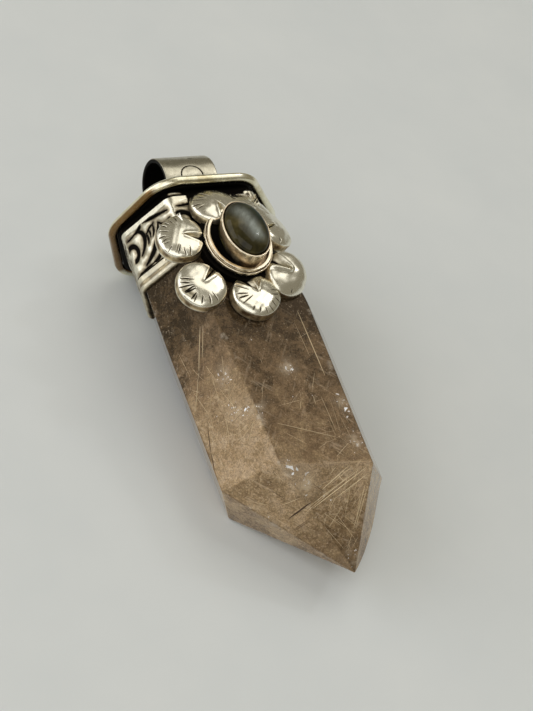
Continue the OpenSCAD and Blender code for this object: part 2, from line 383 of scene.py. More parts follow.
def mitre(corners: np.ndarray) -> tuple[np.ndarray, np.ndarray, np.ndarray]:
    """The outward directions of each corner's two sides, and how it moves as they move out by 1.

    Args:
        corners: The outline's corners as (side, height), counterclockwise.

    Returns:
        The side before's direction, the side after's direction and the corner's move, each (6, 2).
    """
    along = unit(np.roll(corners, -1, axis=0) - corners)
    after = np.stack([along[:, 1], -along[:, 0]], -1)
    before = np.roll(after, 1, axis=0)
    return before, after, (before + after) / (1 + (before * after).sum(-1, keepdims=True))


@dataclass(frozen=True)
class Ring:
    """A rounded six-sided path round the pendant: its points, outward directions and length so far."""

    points: np.ndarray
    normals: np.ndarray
    length: np.ndarray
    middles: np.ndarray
    widths: np.ndarray

    @classmethod
    def around(cls, corners: np.ndarray, out: float, radius: float, count: int) -> "Ring":
        """Moves the corners' outline out, rounds its corners with arcs and spaces points evenly on it.

        Each arc turns about corner + (out - radius) times its mitre, from one side's direction to the next.

        Args:
            corners: The outline's corners as (side, height), counterclockwise.
            out: How far the path lies outside them.
            radius: The arcs' radius.
            count: Points on the path.

        Returns:
            The path.
        """
        before, after, move = mitre(corners)
        centre = corners + (out - radius) * move
        start = np.arctan2(before[:, 1], before[:, 0])
        turn = (np.arctan2(after[:, 1], after[:, 0]) - start) % (2 * np.pi)
        steps = 40
        a = start[:, None] + turn[:, None] * np.linspace(0, 1, steps)
        spoke = np.stack([np.cos(a), np.sin(a)], -1)
        arcs = centre[:, None] + radius * spoke
        rough = np.concatenate([arcs.reshape(-1, 2), arcs[0, :1]])
        normal = np.concatenate([spoke.reshape(-1, 2), spoke[0, :1]])
        run = np.concatenate([[0], np.cumsum(np.linalg.norm(np.diff(rough, axis=0), axis=1))])
        s = np.linspace(0, run[-1], count, endpoint=False)
        points = np.stack([np.interp(s, run, rough[:, k]) for k in (0, 1)], -1)
        normals = unit(np.stack([np.interp(s, run, normal[:, k]) for k in (0, 1)], -1))
        arc_end, next_start = run[steps - 1 :: steps], run[steps::steps]
        widths = np.linalg.norm(np.roll(corners, -1, axis=0) - corners, axis=1)
        return cls(points, normals, s, (arc_end + next_start) / 2, widths)


@dataclass(frozen=True)
class Resting:
    """The pendant laid on its back: its rim wire and the crystal's back shoulder touch the table."""

    stone: Stone
    levels: Levels

    def tilt(self) -> float:
        """How far it tips up toward the bail, in radians."""
        dy, dz = self.levels.wire_y - self.stone.edge_y[4], -self.levels.rim_out - self.stone.rim_back
        return math.asin(self.levels.wire_d / 2 / math.hypot(dy, dz)) - math.atan2(dz, dy)

    def shift(self) -> np.ndarray:
        """How far it then moves, so that the origin lies on the table under the middle of its box.

        Returns:
            The move in millimetres.
        """
        lv, st, t = self.levels, self.stone, self.tilt()
        reach = lv.rim_r + lv.wire_d / 2
        rim, move = st.rim(), mitre(st.rim())[2]
        right = max(st.neck()[0, 0], rim[0, 0] + (lv.rim_out - lv.rim_r) * move[0, 0] + reach)
        left = rim[3, 0] + (lv.rim_out - lv.rim_r) * move[3, 0] - reach
        low = st.tip[1] * math.cos(t) - st.tip[2] * math.sin(t)
        high = lv.bail_y * math.cos(t) + lv.bail_depth * math.sin(t) + lv.bail_d / 2
        lift = -st.shoulder()[4, 1] * math.cos(t) - st.edge_y[4] * math.sin(t)
        return np.array([-(right + left) / 2, -(low + high) / 2, lift])

    def from_front(self) -> np.ndarray:
        """The direction of sight of someone who looks down on the pendant from its tip's left."""
        axes = self.place(np.eye(3)) - self.place(np.zeros((1, 3)))
        return unit(axes @ np.array([0.537, 0.371, -0.757]))

    def place(self, points: np.ndarray) -> np.ndarray:
        """Turns flat places about x by the tilt and moves them.

        Args:
            points: The places in flat millimetres, of shape (n, 3).

        Returns:
            The same places in the frame's metres.
        """
        c, s = math.cos(self.tilt()), math.sin(self.tilt())
        turn = np.array([[1, 0, 0], [0, c, -s], [0, s, c]])
        return (points @ turn.T + self.shift()) / 1000.0


# ---------------------------------------------------------------- finishes


class Nodes:
    """A material's node tree with one principled shader, and short calls for the nodes that feed it."""

    def __init__(self, name: str) -> None:
        """Makes an empty material of that name.

        Args:
            name: The material's name.
        """
        self.material = bpy.data.materials.new(name)
        self.material.use_nodes = True
        self.tree = self.material.node_tree
        self.shader = next(n for n in self.tree.nodes if n.type == "BSDF_PRINCIPLED")
        self.where = self.tree.nodes.new("ShaderNodeTexCoord").outputs["Object"]

    def make(self, kind: str, settings: dict[str, object] | None = None, **inputs: object) -> bpy.types.Node:
        """Adds a node.

        Args:
            kind: The node's type.
            settings: Its properties by name.
            **inputs: What each input is linked or set to, by its name, or by its number after a "_".

        Returns:
            The node.
        """
        node = self.tree.nodes.new(kind)
        for key, value in (settings or {}).items():
            setattr(node, key, value)
        for key, value in inputs.items():
            numbered = key[0] == "_" and key[1:].isdigit()
            socket = node.inputs[int(key[1:]) if numbered else key.replace("_", " ")]
            if isinstance(value, bpy.types.NodeSocket):
                self.tree.links.new(value, socket)
            else:
                socket.default_value = value
        return node

    def noise(self, per_mm: float, detail: float = 4, stretch: Colour = (1, 1, 1), turn: float = 0) -> Socket:
        """Fractal noise.

        Args:
            per_mm: About how many features it has in a millimetre.
            detail: How many finer layers lie on it.
            stretch: How much denser it is along each turned axis.
            turn: How far the axes are turned about z, in radians.

        Returns:
            The noise, around 0.5.
        """
        turned = self.make("ShaderNodeMapping", Vector=self.where, Rotation=(0, 0, turn))
        place = self.make("ShaderNodeMapping", Vector=turned.outputs[0], Scale=stretch).outputs[0]
        size = {"Scale": per_mm * 1000, "Detail": detail, "Roughness": 0.6}
        return self.make("ShaderNodeTexNoise", Vector=place, **size).outputs["Fac"]

    def cells(self, per_mm: float, place: Socket | None = None) -> bpy.types.Node:
        """A pattern of cells with about so many in a millimetre."""
        place = self.where if place is None else place
        return self.make("ShaderNodeTexVoronoi", Vector=place, Scale=per_mm * 1000)

    def mark(self, name: str) -> Socket:
        """The number that the piece's points carry under that name."""
        return self.make("ShaderNodeAttribute", {"attribute_name": name}).outputs["Fac"]

    def math(self, what: str, a: object, b: object, clamp: bool) -> Socket:
        """One sum of two numbers or sockets, held between 0 and 1 if clamp is set."""
        return self.make("ShaderNodeMath", {"operation": what, "use_clamp": clamp}, _0=a, _1=b).outputs[0]

    def plus(self, a: object, b: object, clamp: bool = False) -> Socket:
        """The sum of a and b."""
        return self.math("ADD", a, b, clamp)

    def less(self, a: object, b: object, clamp: bool = False) -> Socket:
        """What is left of a without b."""
        return self.math("SUBTRACT", a, b, clamp)

    def times(self, a: object, b: object, clamp: bool = False) -> Socket:
        """The product of a and b."""
        return self.math("MULTIPLY", a, b, clamp)

    def most(self, *values: Socket) -> Socket:
        """The greatest of the values."""
        return functools.reduce(lambda a, b: self.math("MAXIMUM", a, b, False), values)

    def sway(self, value: Socket, amount: float) -> Socket:
        """How far a noise lies from its middle, times an amount."""
        return self.times(self.less(value, 0.5), amount)

    def spread(
        self, value: object, low: float, high: float, out_low: float = 0.0, out_high: float = 1.0
    ) -> Socket:
        """Maps low..high to out_low..out_high, held at its ends."""
        span = {"From_Min": low, "From_Max": high, "To_Min": out_low, "To_Max": out_high}
        return self.make("ShaderNodeMapRange", Value=value, **span).outputs[0]

    def ramp(self, value: object, *stops: Stop) -> Socket:
        """A colour that runs through stops.

        Args:
            value: A number from 0 to 1.
            *stops: Where each stop lies, and its colour.

        Returns:
            The colour at the value.
        """
        node = self.make("ShaderNodeValToRGB", Fac=value)
        bar = node.color_ramp.elements
        for i, (at, colour) in enumerate(stops):
            stop = bar[i] if i < 2 else bar.new(at)
            stop.position, stop.color = at, (*colour, 1.0)
        return node.outputs["Color"]

    def blend(self, share: object, a: object, b: object, how: str = "MIX") -> Socket:
        """Mixes two colours.

        Args:
            share: The second one's share.
            a: The first colour.
            b: The second colour.
            how: The way of mixing.

        Returns:
            The mixed colour.
        """
        a, b = [(*v, 1.0) if isinstance(v, tuple) else v for v in (a, b)]
        node = self.make("ShaderNodeMix", {"data_type": "RGBA", "blend_type": how}, _0=share, _6=a, _7=b)
        return node.outputs[2]

    def bump(self, height: object, depth_mm: float, strength: float = 1.0, **more: Socket) -> Socket:
        """A surface roughened by a height whose full range is so many millimetres."""
        size = {"Distance": depth_mm / 1000, "Strength": strength}
        return self.make("ShaderNodeBump", Height=height, **size, **more).outputs[0]

    def dress(self, **inputs: object) -> bpy.types.Material:
        """Sets or links the shader's own sockets.

        Args:
            **inputs: A number, colour or socket for each of them, by name.

        Returns:
            The material.
        """
        for key, value in inputs.items():
            socket = self.shader.inputs[key.replace("_", " ")]
            if isinstance(value, bpy.types.NodeSocket):
                self.tree.links.new(value, socket)
            else:
                is_colour = isinstance(value, tuple) and len(value) == 3
                socket.default_value = (*value, 1.0) if is_colour else value
        return self.material


class Finish(ABC):
    """A surface finish that can make its material once."""

    name: str

    @abstractmethod
    def make(self) -> bpy.types.Material:
        """Builds the material and returns it."""

    def material(self) -> bpy.types.Material:
        """The material, made on its first use."""
        return bpy.data.materials.get(self.name) or self.make()


@dataclass(frozen=True)
class AgedSilver(Finish):
    """Silver that is bright where it stands proud and black in its cuts.

    Its points carry "polish", from 0 in a cut to 1 on a rubbed surface, and "wall", 1 on an upright side.
    An upright side takes a painted brown reflection, blotched by noise.
    """

    name: str
    bright: Colour
    dull: Colour
    gloss: float
    grain_mm: float
    black: Colour = (0.008, 0.007, 0.006)
    brown: Colour = (0.10, 0.08, 0.06)

    def make(self) -> bpy.types.Material:
        """Builds the material: the polish mark, swayed by cast grain and blots, picks its colour and gloss.

        Returns:
            The material.
        """
        n = Nodes(self.name)
        cast, blot, fine = n.noise(1.6, 5), n.noise(0.35, 3), n.noise(6.0, 2)
        worn = n.plus(n.plus(n.mark("polish"), n.sway(cast, 0.5)), n.sway(blot, 0.3))
        colour = n.ramp(worn, (0.12, self.black), (0.38, self.brown), (0.62, self.dull), (0.9, self.bright))
        # Upright sides take a painted brown reflection in two blotched browns
        painted_brown_reflection = n.blend(n.spread(n.noise(0.8, 4), 0.4, 0.6), (0.20, 0.12, 0.05), (0.90, 0.74, 0.46))
        wall = n.times(n.mark("wall"), n.spread(cast, 0.2, 0.6, 0.6, 0.95), clamp=True)
        colour = n.blend(wall, colour, painted_brown_reflection)
        rough = n.plus(n.spread(worn, 0.2, 0.9, 0.55, self.gloss), n.times(fine, 0.12))
        rough = n.plus(rough, n.times(wall, 0.12))
        scratch = n.noise(3.0, 2, (1, 0.06, 1), 0.5)
        normal = n.bump(scratch, 0.004, 0.5, Normal=n.bump(cast, self.grain_mm))
        return n.dress(Base_Color=colour, Metallic=1.0, Roughness=rough, Normal=normal)


@dataclass(frozen=True)
class PaleBrass(Finish):
    """Rubbed brass wire of a pale green gold, with painted shade where it faces the cap and a painted brown
    reflection on its left side.
    """

    name: str = "rubbed_pale_brass"
    tones: tuple[Stop, ...] = (
        (0.3, (0.66, 0.59, 0.38)), (0.48, (0.88, 0.84, 0.64)), (0.7, (0.98, 0.96, 0.82)),
    )
    shaded: Colour = (0.20, 0.105, 0.028)

    def make(self) -> bpy.types.Material:
        """Builds the material: blots pick its tone, and the inner mark its painted shade and brown
        reflection.

        Returns:
            The material.
        """
        n = Nodes(self.name)
        blot, fine = n.noise(0.5, 4), n.noise(4.0, 3)
        shade = n.times(n.mark("inner"), n.spread(fine, 0.2, 0.7, 0.9, 1.05), clamp=True)
        colour = n.blend(shade, n.ramp(blot, *self.tones), self.shaded)
        drawn = n.noise(5.0, 2, (1, 1, 0.1))
        rough = n.spread(drawn, 0.2, 0.8, 0.2, 0.3)
        return n.dress(Base_Color=colour, Metallic=1.0, Roughness=rough, Normal=n.bump(drawn, 0.0015, 0.5))


@dataclass(frozen=True)
class SmokyQuartz(Finish):
    """Clouded smoky quartz.

    Its points carry "smoke", 0 clear to 1 dark: real smoke toward the cap, with painted light and shade
    that differ face by face. They also carry "haze" for pale clouds and "edge", 1 on a worn edge.
    """

    name: str = "smoky_quartz"
    tones: tuple[Stop, ...] = (
        (0.0, (0.72, 0.55, 0.37)),
        (0.2, (0.60, 0.44, 0.27)),
        (0.4, (0.46, 0.33, 0.19)),
        (0.6, (0.31, 0.21, 0.12)),
        (0.8, (0.175, 0.118, 0.066)),
        (1.0, (0.055, 0.038, 0.021)),
    )
    pale: Colour = (0.66, 0.55, 0.41)
    chipped: Colour = (0.60, 0.53, 0.44)
    ior: float = 1.54

    def smoke(self, n: Nodes, cloud: Socket, mottle: Socket) -> Socket:
        """The smoke mark, changed by clouds, mottling, inner planes and grain, less so where it is dark.

        Args:
            n: The material's nodes.
            cloud: Wide clouds.
            mottle: Patches of about a millimetre.

        Returns:
            The smoke and painted shade, from 0 to 1.
        """
        drift = n.make("ShaderNodeTexNoise", Vector=n.where, Scale=300, Detail=3).outputs["Color"]
        drift = n.make("ShaderNodeVectorMath", {"operation": "SCALE"}, _0=drift, Scale=0.003).outputs[0]
        bent = n.make("ShaderNodeVectorMath", {"operation": "ADD"}, _0=n.where, _1=drift).outputs[0]
        plane = n.times(n.cells(0.3, bent).outputs["Color"], 1.0)  # each cell's colour as one number
        change = n.plus(n.spread(cloud, 0.3, 0.7, -0.16, 0.16), n.spread(mottle, 0.4, 0.6, -0.17, 0.17))
        change = n.plus(change, n.spread(plane, 0.0, 1.0, -0.14, 0.14))
        change = n.plus(change, n.spread(n.noise(3.5, 5), 0.3, 0.7, -0.14, 0.14))
        change = n.times(change, n.spread(n.mark("smoke"), 0.4, 1.0, 1.0, 0.5))
        return n.plus(n.mark("smoke"), change, clamp=True)

    def veils(self, n: Nodes, cloud: Socket, mottle: Socket) -> Socket:
        """What is pale in the quartz: hazy clouds, flecks, specks and fine streaks that cross.

        Args:
            n: The material's nodes.
            cloud: Wide clouds.
            mottle: Patches of about a millimetre.

        Returns:
            The share of the pale colour, from 0 to 1.
        """
        veil = n.times(n.mark("haze"), n.spread(mottle, 0.42, 0.6, 0, 0.75), clamp=True)
        fleck = n.times(n.spread(n.noise(4.0, 5), 0.62, 0.7, 0, 0.7), n.spread(cloud, 0.36, 0.56, 0.25, 1.0))
        speck = n.spread(n.cells(2.6).outputs["Distance"], 0.14, 0.05)
        speck = n.times(speck, n.spread(mottle, 0.5, 0.6, 0, 0.8), clamp=True)
        one_way = n.spread(n.noise(2.4, 3, (1, 0.1, 1), 0.6), 0.6, 0.66, 0, 0.4)
        other_way = n.spread(n.noise(2.0, 3, (1, 0.1, 1), -0.8), 0.6, 0.66, 0, 0.4)
        streak = n.times(n.most(one_way, other_way), n.spread(cloud, 0.4, 0.55, 0.4, 1.0))
        streak = n.times(streak, n.spread(n.mark("smoke"), 0.5, 1.0, 1.0, 0.4))
        return n.most(veil, speck, fleck, streak)

    def make(self) -> bpy.types.Material:
        """Builds the material: smoke and painted shade pick the tone, and the quartz is clearest where it is
        least smoky.

        Returns:
            The material.
        """
        n = Nodes(self.name)
        cloud, mottle, fine = n.noise(0.16, 6), n.noise(0.8, 8), n.noise(5.0, 4)
        smoke, pale = self.smoke(n, cloud, mottle), self.veils(n, cloud, mottle)
        coarse = n.spread(n.noise(2.6, 4), 0.36, 0.64, 0.84, 1.16)
        grit = n.times(n.spread(n.noise(6.0, 3), 0.4, 0.6, 0.74, 1.26), coarse)
        colour = n.blend(1.0, n.ramp(smoke, *self.tones), grit, "MULTIPLY")
        chip = n.times(n.mark("edge"), n.spread(n.noise(0.6, 8), 0.56, 0.66, 0, 0.6), clamp=True)
        colour = n.blend(chip, n.blend(pale, colour, self.pale), self.chipped)
        clear = n.less(n.spread(smoke, 0.0, 0.9, 0.55, 0.4), n.times(n.most(pale, chip), 0.5), clamp=True)
        # A face seen at a low angle shows its body, not the bright table behind it
        facing = n.make("ShaderNodeLayerWeight", Blend=0.5).outputs["Facing"]
        clear = n.times(clear, n.spread(facing, 0.5, 0.8, 1.0, 0.1))
        rough = n.plus(n.spread(fine, 0.3, 0.8, 0.03, 0.12), n.times(chip, 0.4))
        normal = n.bump(n.noise(0.5, 3), 0.02, 0.3, Normal=n.bump(fine, 0.004, 0.3))
        gloss = {"IOR": self.ior, "Specular_IOR_Level": 0.28, "Specular_Tint": (0.5, 0.34, 0.2)}
        return n.dress(Base_Color=colour, Roughness=rough, Transmission_Weight=clear, Normal=normal, **gloss)


@dataclass(frozen=True)
class Inclusion(Finish):
    """A needle or a glint in the quartz, of one family of colours that its points' "tone" runs through."""

    name: str
    dark: Colour
    light: Colour
    metal: float = 0.3
    gloss: float = 0.3

    def make(self) -> bpy.types.Material:
        """Builds the material: the tone mark, a little uneven, runs from the dark to the light colour.

        Returns:
            The material.
        """
        n = Nodes(self.name)
        tone = n.plus(n.mark("tone"), n.sway(n.noise(1.2, 3), 0.6), clamp=True)
        colour = n.ramp(tone, (0.1, self.dark), (0.9, self.light))
        return n.dress(Base_Color=colour, Metallic=self.metal, Roughness=self.gloss)


@dataclass(frozen=True)
class DarkLabradorite(Finish):
    """Polished grey-green labradorite, olive in one end, with a painted blue-grey sheen across its middle.

    Its points carry "sheen" for the band of painted sheen and "teal" for the greener side.
    """

    name: str = "dark_labradorite"
    tones: tuple[Stop, ...] = (
        (0.3, (0.014, 0.012, 0.004)), (0.5, (0.04, 0.033, 0.011)), (0.72, (0.1, 0.08, 0.03)),
    )
    sheen: Colour = (0.41, 0.455, 0.425)
    teal: Colour = (0.030, 0.072, 0.070)

    def make(self) -> bpy.types.Material:
        """Builds the material: flakes break up the sheen and the teal, under a clear polish.

        Returns:
            The material.
        """
        n = Nodes(self.name)
        flake, cloud = n.noise(1.1, 6, (1.0, 0.45, 1.0), 0.6), n.noise(0.45, 3)
        sheen = n.times(n.mark("sheen"), n.spread(flake, 0.32, 0.68, 0.25, 1.0), clamp=True)
        teal = n.times(n.mark("teal"), n.spread(flake, 0.3, 0.7, 0.3, 0.9), clamp=True)
        colour = n.blend(teal, n.blend(sheen, n.ramp(cloud, *self.tones), self.sheen), self.teal)
        polish = {"Coat_Weight": 0.45, "Coat_Roughness": 0.02, "IOR": 1.56, "Specular_IOR_Level": 0.0}
        return n.dress(Base_Color=colour, Roughness=n.spread(flake, 0.3, 0.7, 0.38, 0.5), **polish)


@dataclass(frozen=True)
class PaleTable(Finish):
    """A plain pale grey table."""

    name: str = "pale_table"

    def make(self) -> bpy.types.Material:
        """Builds the material: two pale greys that cloud into each other.

        Returns:
            The material.
        """
        n = Nodes(self.name)
        colour = n.ramp(n.noise(0.05, 3), (0.3, (0.76, 0.80, 0.82)), (0.7, (0.80, 0.835, 0.85)))
        return n.dress(Base_Color=colour, Roughness=0.75, Specular_IOR_Level=0.2)


# ---------------------------------------------------------------- the quartz


class Facet(Enum):
    """The crystal's faces that carry needles and glints: (first corner, second corner, on the tip)."""

    FRONT = (2, 1, False)
    LEFT = (3, 2, False)
    RIGHT = (1, 0, False)
    TIP_FRONT = (2, 1, True)
    TIP_LEFT = (3, 2, True)
    TIP_RIGHT = (1, 0, True)

    def frame(self, stone: Stone) -> tuple[np.ndarray, np.ndarray, np.ndarray, np.ndarray]:
        """The face's own axes.

        Args:
            stone: The crystal's sizes.

        Returns:
            The middle of its shoulder edge, and its right, up and outward directions.
        """
        first, second, on_tip = self.value
        a, b = stone.foot()[[first, second]]
        middle = (a + b) / 2
        if not on_tip:
            a, b, middle = a * [1, 0, 1], b * [1, 0, 1], middle * [1, 0, 1]
        right = unit(b - a)
        up = np.array([0.0, 1.0, 0.0]) if not on_tip else middle - np.array(stone.tip)
        up = unit(up - right * (up @ right))
        out = np.cross(right, up)
        inside = np.array([0.0, 0.0, -6.5]) - middle
        return middle, right, up, -out if out @ inside > 0 else out


@dataclass(frozen=True)
class Needle:
    """A straight needle in one face: where it starts and ends on it, its width and its tone."""

    face: Facet
    start: tuple[float, float]
    end: tuple[float, float]
    width: float
    tone: float


Spot = tuple[Facet, float, float, float]
Fan = tuple[Facet, float, float, float, float]


def needles_on(face: Facet, *rows: tuple[float, ...]) -> tuple[Needle, ...]:
    """Needles in one face, from rows of (start right, start up, end right, end up, width, tone)."""
    return tuple(Needle(face, row[:2], row[2:4], *row[4:]) for row in rows)


def spots_on(face: Facet, *rows: tuple[float, ...]) -> tuple[Spot, ...]:
    """Round places on one face, from rows of (right, up, size)."""
    return tuple((face, *row) for row in rows)


@dataclass
class Crystal:
    """The smoky point with its golden needles, brown needles and glints.

    "smoke" holds the tone of each face, the right one first, at the heights "smoke_at" over the
    shoulder: real smoke toward the cap, and painted light and shade that differ face by face.
    A fan is (face, right, up, spread, mean direction in degrees): fine needles start about its place.
    "edge_r" and "bend_r" round its edges and its soft bends, "worn_w" is how wide a worn edge is, "margin"
    how far inside their face needles stay, and "bow" how far the tip's right edge swells. "columns" and
    "row_gap" are the mesh's, and "crisp" is the share of a side between an edge and the next point.
    """

    stone: Stone
    levels: Levels
    edge_r: float = 0.14
    bend_r: float = 1.6
    row_gap: float = 0.38
    worn_w: float = 0.13
    margin: float = 0.12
    columns: int = 16
    crisp: float = 0.004
    bow: float = 0.8
    smoke_at: tuple[float, ...] = (-11.5, -6, -0.12, 0.12, 6, 9, 14, 20, 27)
    smoke: tuple[tuple[float, ...], ...] = (
        (0.52, 0.46, 0.42, 0.46, 0.60, 0.66, 0.72, 0.84, 0.95),
        (0.94, 0.46, 0.06, 0.58, 0.66, 0.66, 0.78, 1.00, 1.00),
        (0.66, 0.34, 0.26, 0.06, 0.20, 0.42, 0.74, 0.98, 1.00),
        (0.60, 0.54, 0.50, 0.46, 0.50, 0.62, 0.74, 0.95, 1.00),
        (0.56, 0.50, 0.48, 0.48, 0.50, 0.56, 0.64, 0.80, 0.95),
        (0.58, 0.52, 0.50, 0.52, 0.56, 0.60, 0.66, 0.80, 0.95),
    )
    golden: tuple[Needle, ...] = (
        *needles_on(Facet.FRONT,
            (4.1, 18.4, 4.15, 9.4, 0.12, 0.9), (3.1, 17.0, 3.3, 11.8, 0.07, 0.4),
            (2.6, 7.3, 2.7, 2.6, 0.09, 0.5), (3.6, 6.9, 3.1, 2.2, 0.07, 0.4),
            (-4.2, 4.9, 2.9, 1.8, 0.09, 0.7),
        ),
        *needles_on(Facet.LEFT,
            (1.3, 18.9, -1.1, 14.3, 0.1, 0.8), (-1.1, 14.3, -3.4, 10.4, 0.08, 0.7),
            (1.7, 18.8, 0.0, 15.4, 0.08, 0.6), (-3.9, 9.0, -0.7, 9.2, 0.06, 0.3),
        ),
        *needles_on(Facet.TIP_FRONT,
            (5.0, -0.3, -2.0, -5.0, 0.1, 1.0), (4.5, -0.3, -1.4, -4.1, 0.08, 0.8),
            (2.7, -0.2, -0.7, -2.9, 0.09, 0.9), (3.1, -0.3, 0.2, -2.4, 0.07, 0.7),
            (0.6, -1.9, 1.6, -1.1, 0.09, 1.0), (1.4, -1.2, 2.0, -1.9, 0.08, 0.9),
            (4.7, -2.2, 3.3, -7.2, 0.09, 0.8), (5.0, -2.4, 3.7, -6.6, 0.08, 0.7),
            (3.2, -7.5, 2.6, -9.2, 0.07, 0.5), (-0.3, -5.2, 2.0, -6.8, 0.07, 0.6),
            (5.3, 0.2, 0.2, 0.1, 0.06, 0.4), (5.2, -0.1, -3.0, -3.0, 0.06, 0.4),
            (3.9, -0.4, -3.4, -5.9, 0.07, 0.7), (1.6, -2.0, -3.0, -5.2, 0.06, 0.6),
            (5.2, -1.0, 0.8, -3.9, 0.08, 0.9), (4.6, -1.4, 1.6, -3.6, 0.06, 0.6),
        ),
    )
    brown: tuple[Needle, ...] = (
        *needles_on(Facet.LEFT, (-2.6, 8.2, -3.5, 5.0, 0.09, 0.4), (-3.4, 5.3, -3.75, 3.4, 0.13, 0.6)),
        *needles_on(Facet.TIP_FRONT,
            (-1.7, -4.0, -4.7, -5.75, 0.2, 0.3), (-1.8, -5.9, -3.9, -7.0, 0.08, 0.5),
            (-1.9, -1.9, 0.0, -3.2, 0.07, 0.4),
        ),
        *needles_on(Facet.TIP_LEFT, (1.2, -2.2, 2.0, -3.9, 0.08, 0.4), (0.6, -7.5, 3.3, -7.0, 0.07, 0.5)),
    )
    glints: tuple[Spot, ...] = (
        *spots_on(Facet.TIP_FRONT,
            (-4.3, -0.35, 0.75), (-4.0, -0.95, 0.5), (-4.7, -0.25, 0.45), (-3.6, -0.5, 0.4),
            (-2.5, -1.1, 0.4), (-2.2, -0.9, 0.36), (-2.4, -3.3, 0.26), (0.5, -3.9, 0.22),
            (-0.3, -3.4, 0.18),
        ),
        *spots_on(Facet.FRONT,
            (5.0, 5.2, 0.62), (5.25, 4.8, 0.4), (4.8, 4.2, 0.3), (4.7, 7.1, 0.4), (-0.2, 11.2, 0.5),
            (0.4, 10.9, 0.4), (-3.0, 15.2, 0.16), (-0.8, 7.6, 0.2), (1.6, 7.4, 0.16),
        ),
        *spots_on(Facet.LEFT,
            (2.3, 11.3, 0.4), (1.1, 12.6, 0.32), (2.6, 7.4, 0.36), (2.0, 7.0, 0.3), (-1.0, 8.6, 0.2),
            (1.2, 7.8, 0.22),
        ),
    )
    clouds: tuple[Spot, ...] = (
        *spots_on(Facet.FRONT,
            (-0.1, 11.2, 1.0), (-5.3, 6.8, 0.7), (-4.6, -0.2, 0.8), (4.6, 1.0, 1.2), (5.2, 6.0, 1.0),
        ),
        *spots_on(Facet.LEFT, (3.4, 7.2, 1.2), (1.3, 7.9, 1.1), (1.8, 12.0, 1.2)),
        *spots_on(Facet.TIP_FRONT, (-2.2, -2.2, 1.2), (-5.0, -8.0, 1.4)),
        *spots_on(Facet.TIP_LEFT, (-2.0, -6.5, 1.6)),
        *spots_on(Facet.TIP_FRONT, (3.6, -10.0, 1.2)),
    )
    fans: tuple[Fan, ...] = (
        (Facet.TIP_FRONT, 3.5, -1.0, 1.6, 215),
        (Facet.TIP_FRONT, 1.0, -4.5, 2.4, 60),
        (Facet.FRONT, 4.2, 2.2, 1.6, 120),
        (Facet.FRONT, 1.0, 6.0, 3.4, 20),
        (Facet.TIP_FRONT, 3.0, -2.5, 1.8, 215),
        (Facet.LEFT, 0.0, 5.0, 2.6, 40),
        (Facet.LEFT, 0.5, 12.0, 3.0, 100),
        (Facet.TIP_LEFT, 0.0, -3.5, 2.2, 10),
        (Facet.TIP_RIGHT, 0.0, -4.0, 2.4, 60),
        (Facet.TIP_FRONT, 2.6, -8.5, 1.4, 100),
        (Facet.LEFT, 1.5, 8.0, 2.2, 60),
        (Facet.RIGHT, -2.0, 8.0, 3.5, 90),
    )

    def corners(self) -> np.ndarray:
        """The six long edges as paths of points, from the hidden top to the tip: (rows, 6, 3).

        Each path is straight between its levels, with soft bends where the crystal was ground in and a
        small one at the shoulder. The tip's right edge is worn round: it swells by the bow, most toward
        its end, as smooth(s / 0.6) (1 - s^8) at the share s of the way.

        Returns:
            The points of the paths.
        """
        st, lv = self.stone, self.levels

        def level(pts: np.ndarray, y: float) -> np.ndarray:
            """The six corners at one level, in space."""
            return np.column_stack([pts[:, 0], np.full(6, y), pts[:, 1]])

        foot = st.foot()
        end = np.broadcast_to(np.array(st.tip), (6, 3))
        hidden, seat = level(st.seat(), lv.plate_y - 0.1), level(st.seat(), lv.cap_start)
        upper = filleted(np.array([hidden, seat, level(st.neck(), st.neck_y), foot]), self.bend_r, 6)
        lower = filleted(np.array([upper[-2], foot, end]), self.edge_r, 5)
        path = np.concatenate([upper[:-1], lower[1:]])
        step = np.linalg.norm(np.diff(path, axis=0), axis=-1).mean(1)
        cuts = np.maximum(1, np.round(step / self.row_gap)).astype(int)
        # A row on each side of the shoulder's bend keeps both faces flat up to it; the last one is
        # nearly at the tip
        extra = [len(upper) - 1 - self.crisp / 2, len(upper) + 3 + self.crisp, len(cuts) - 0.006]
        t = np.sort(np.concatenate([i + np.arange(c) / c for i, c in enumerate(cuts)] + [extra]))
        i = np.floor(t).astype(int)
        f = (t - i)[:, None, None]
        path = path[i] * (1 - f) + path[i + 1] * f
        share = np.clip((foot[:, 1] - path[..., 1]) / (foot[:, 1] - st.tip[1]), 0, 1)
        swell = self.bow * smooth(share / 0.6) * (1 - share**8) * np.array([1.0, 0, 0, 0, 0, 0.5])
        return path + swell[..., None] * np.array([0.94, 0.0, -0.34])

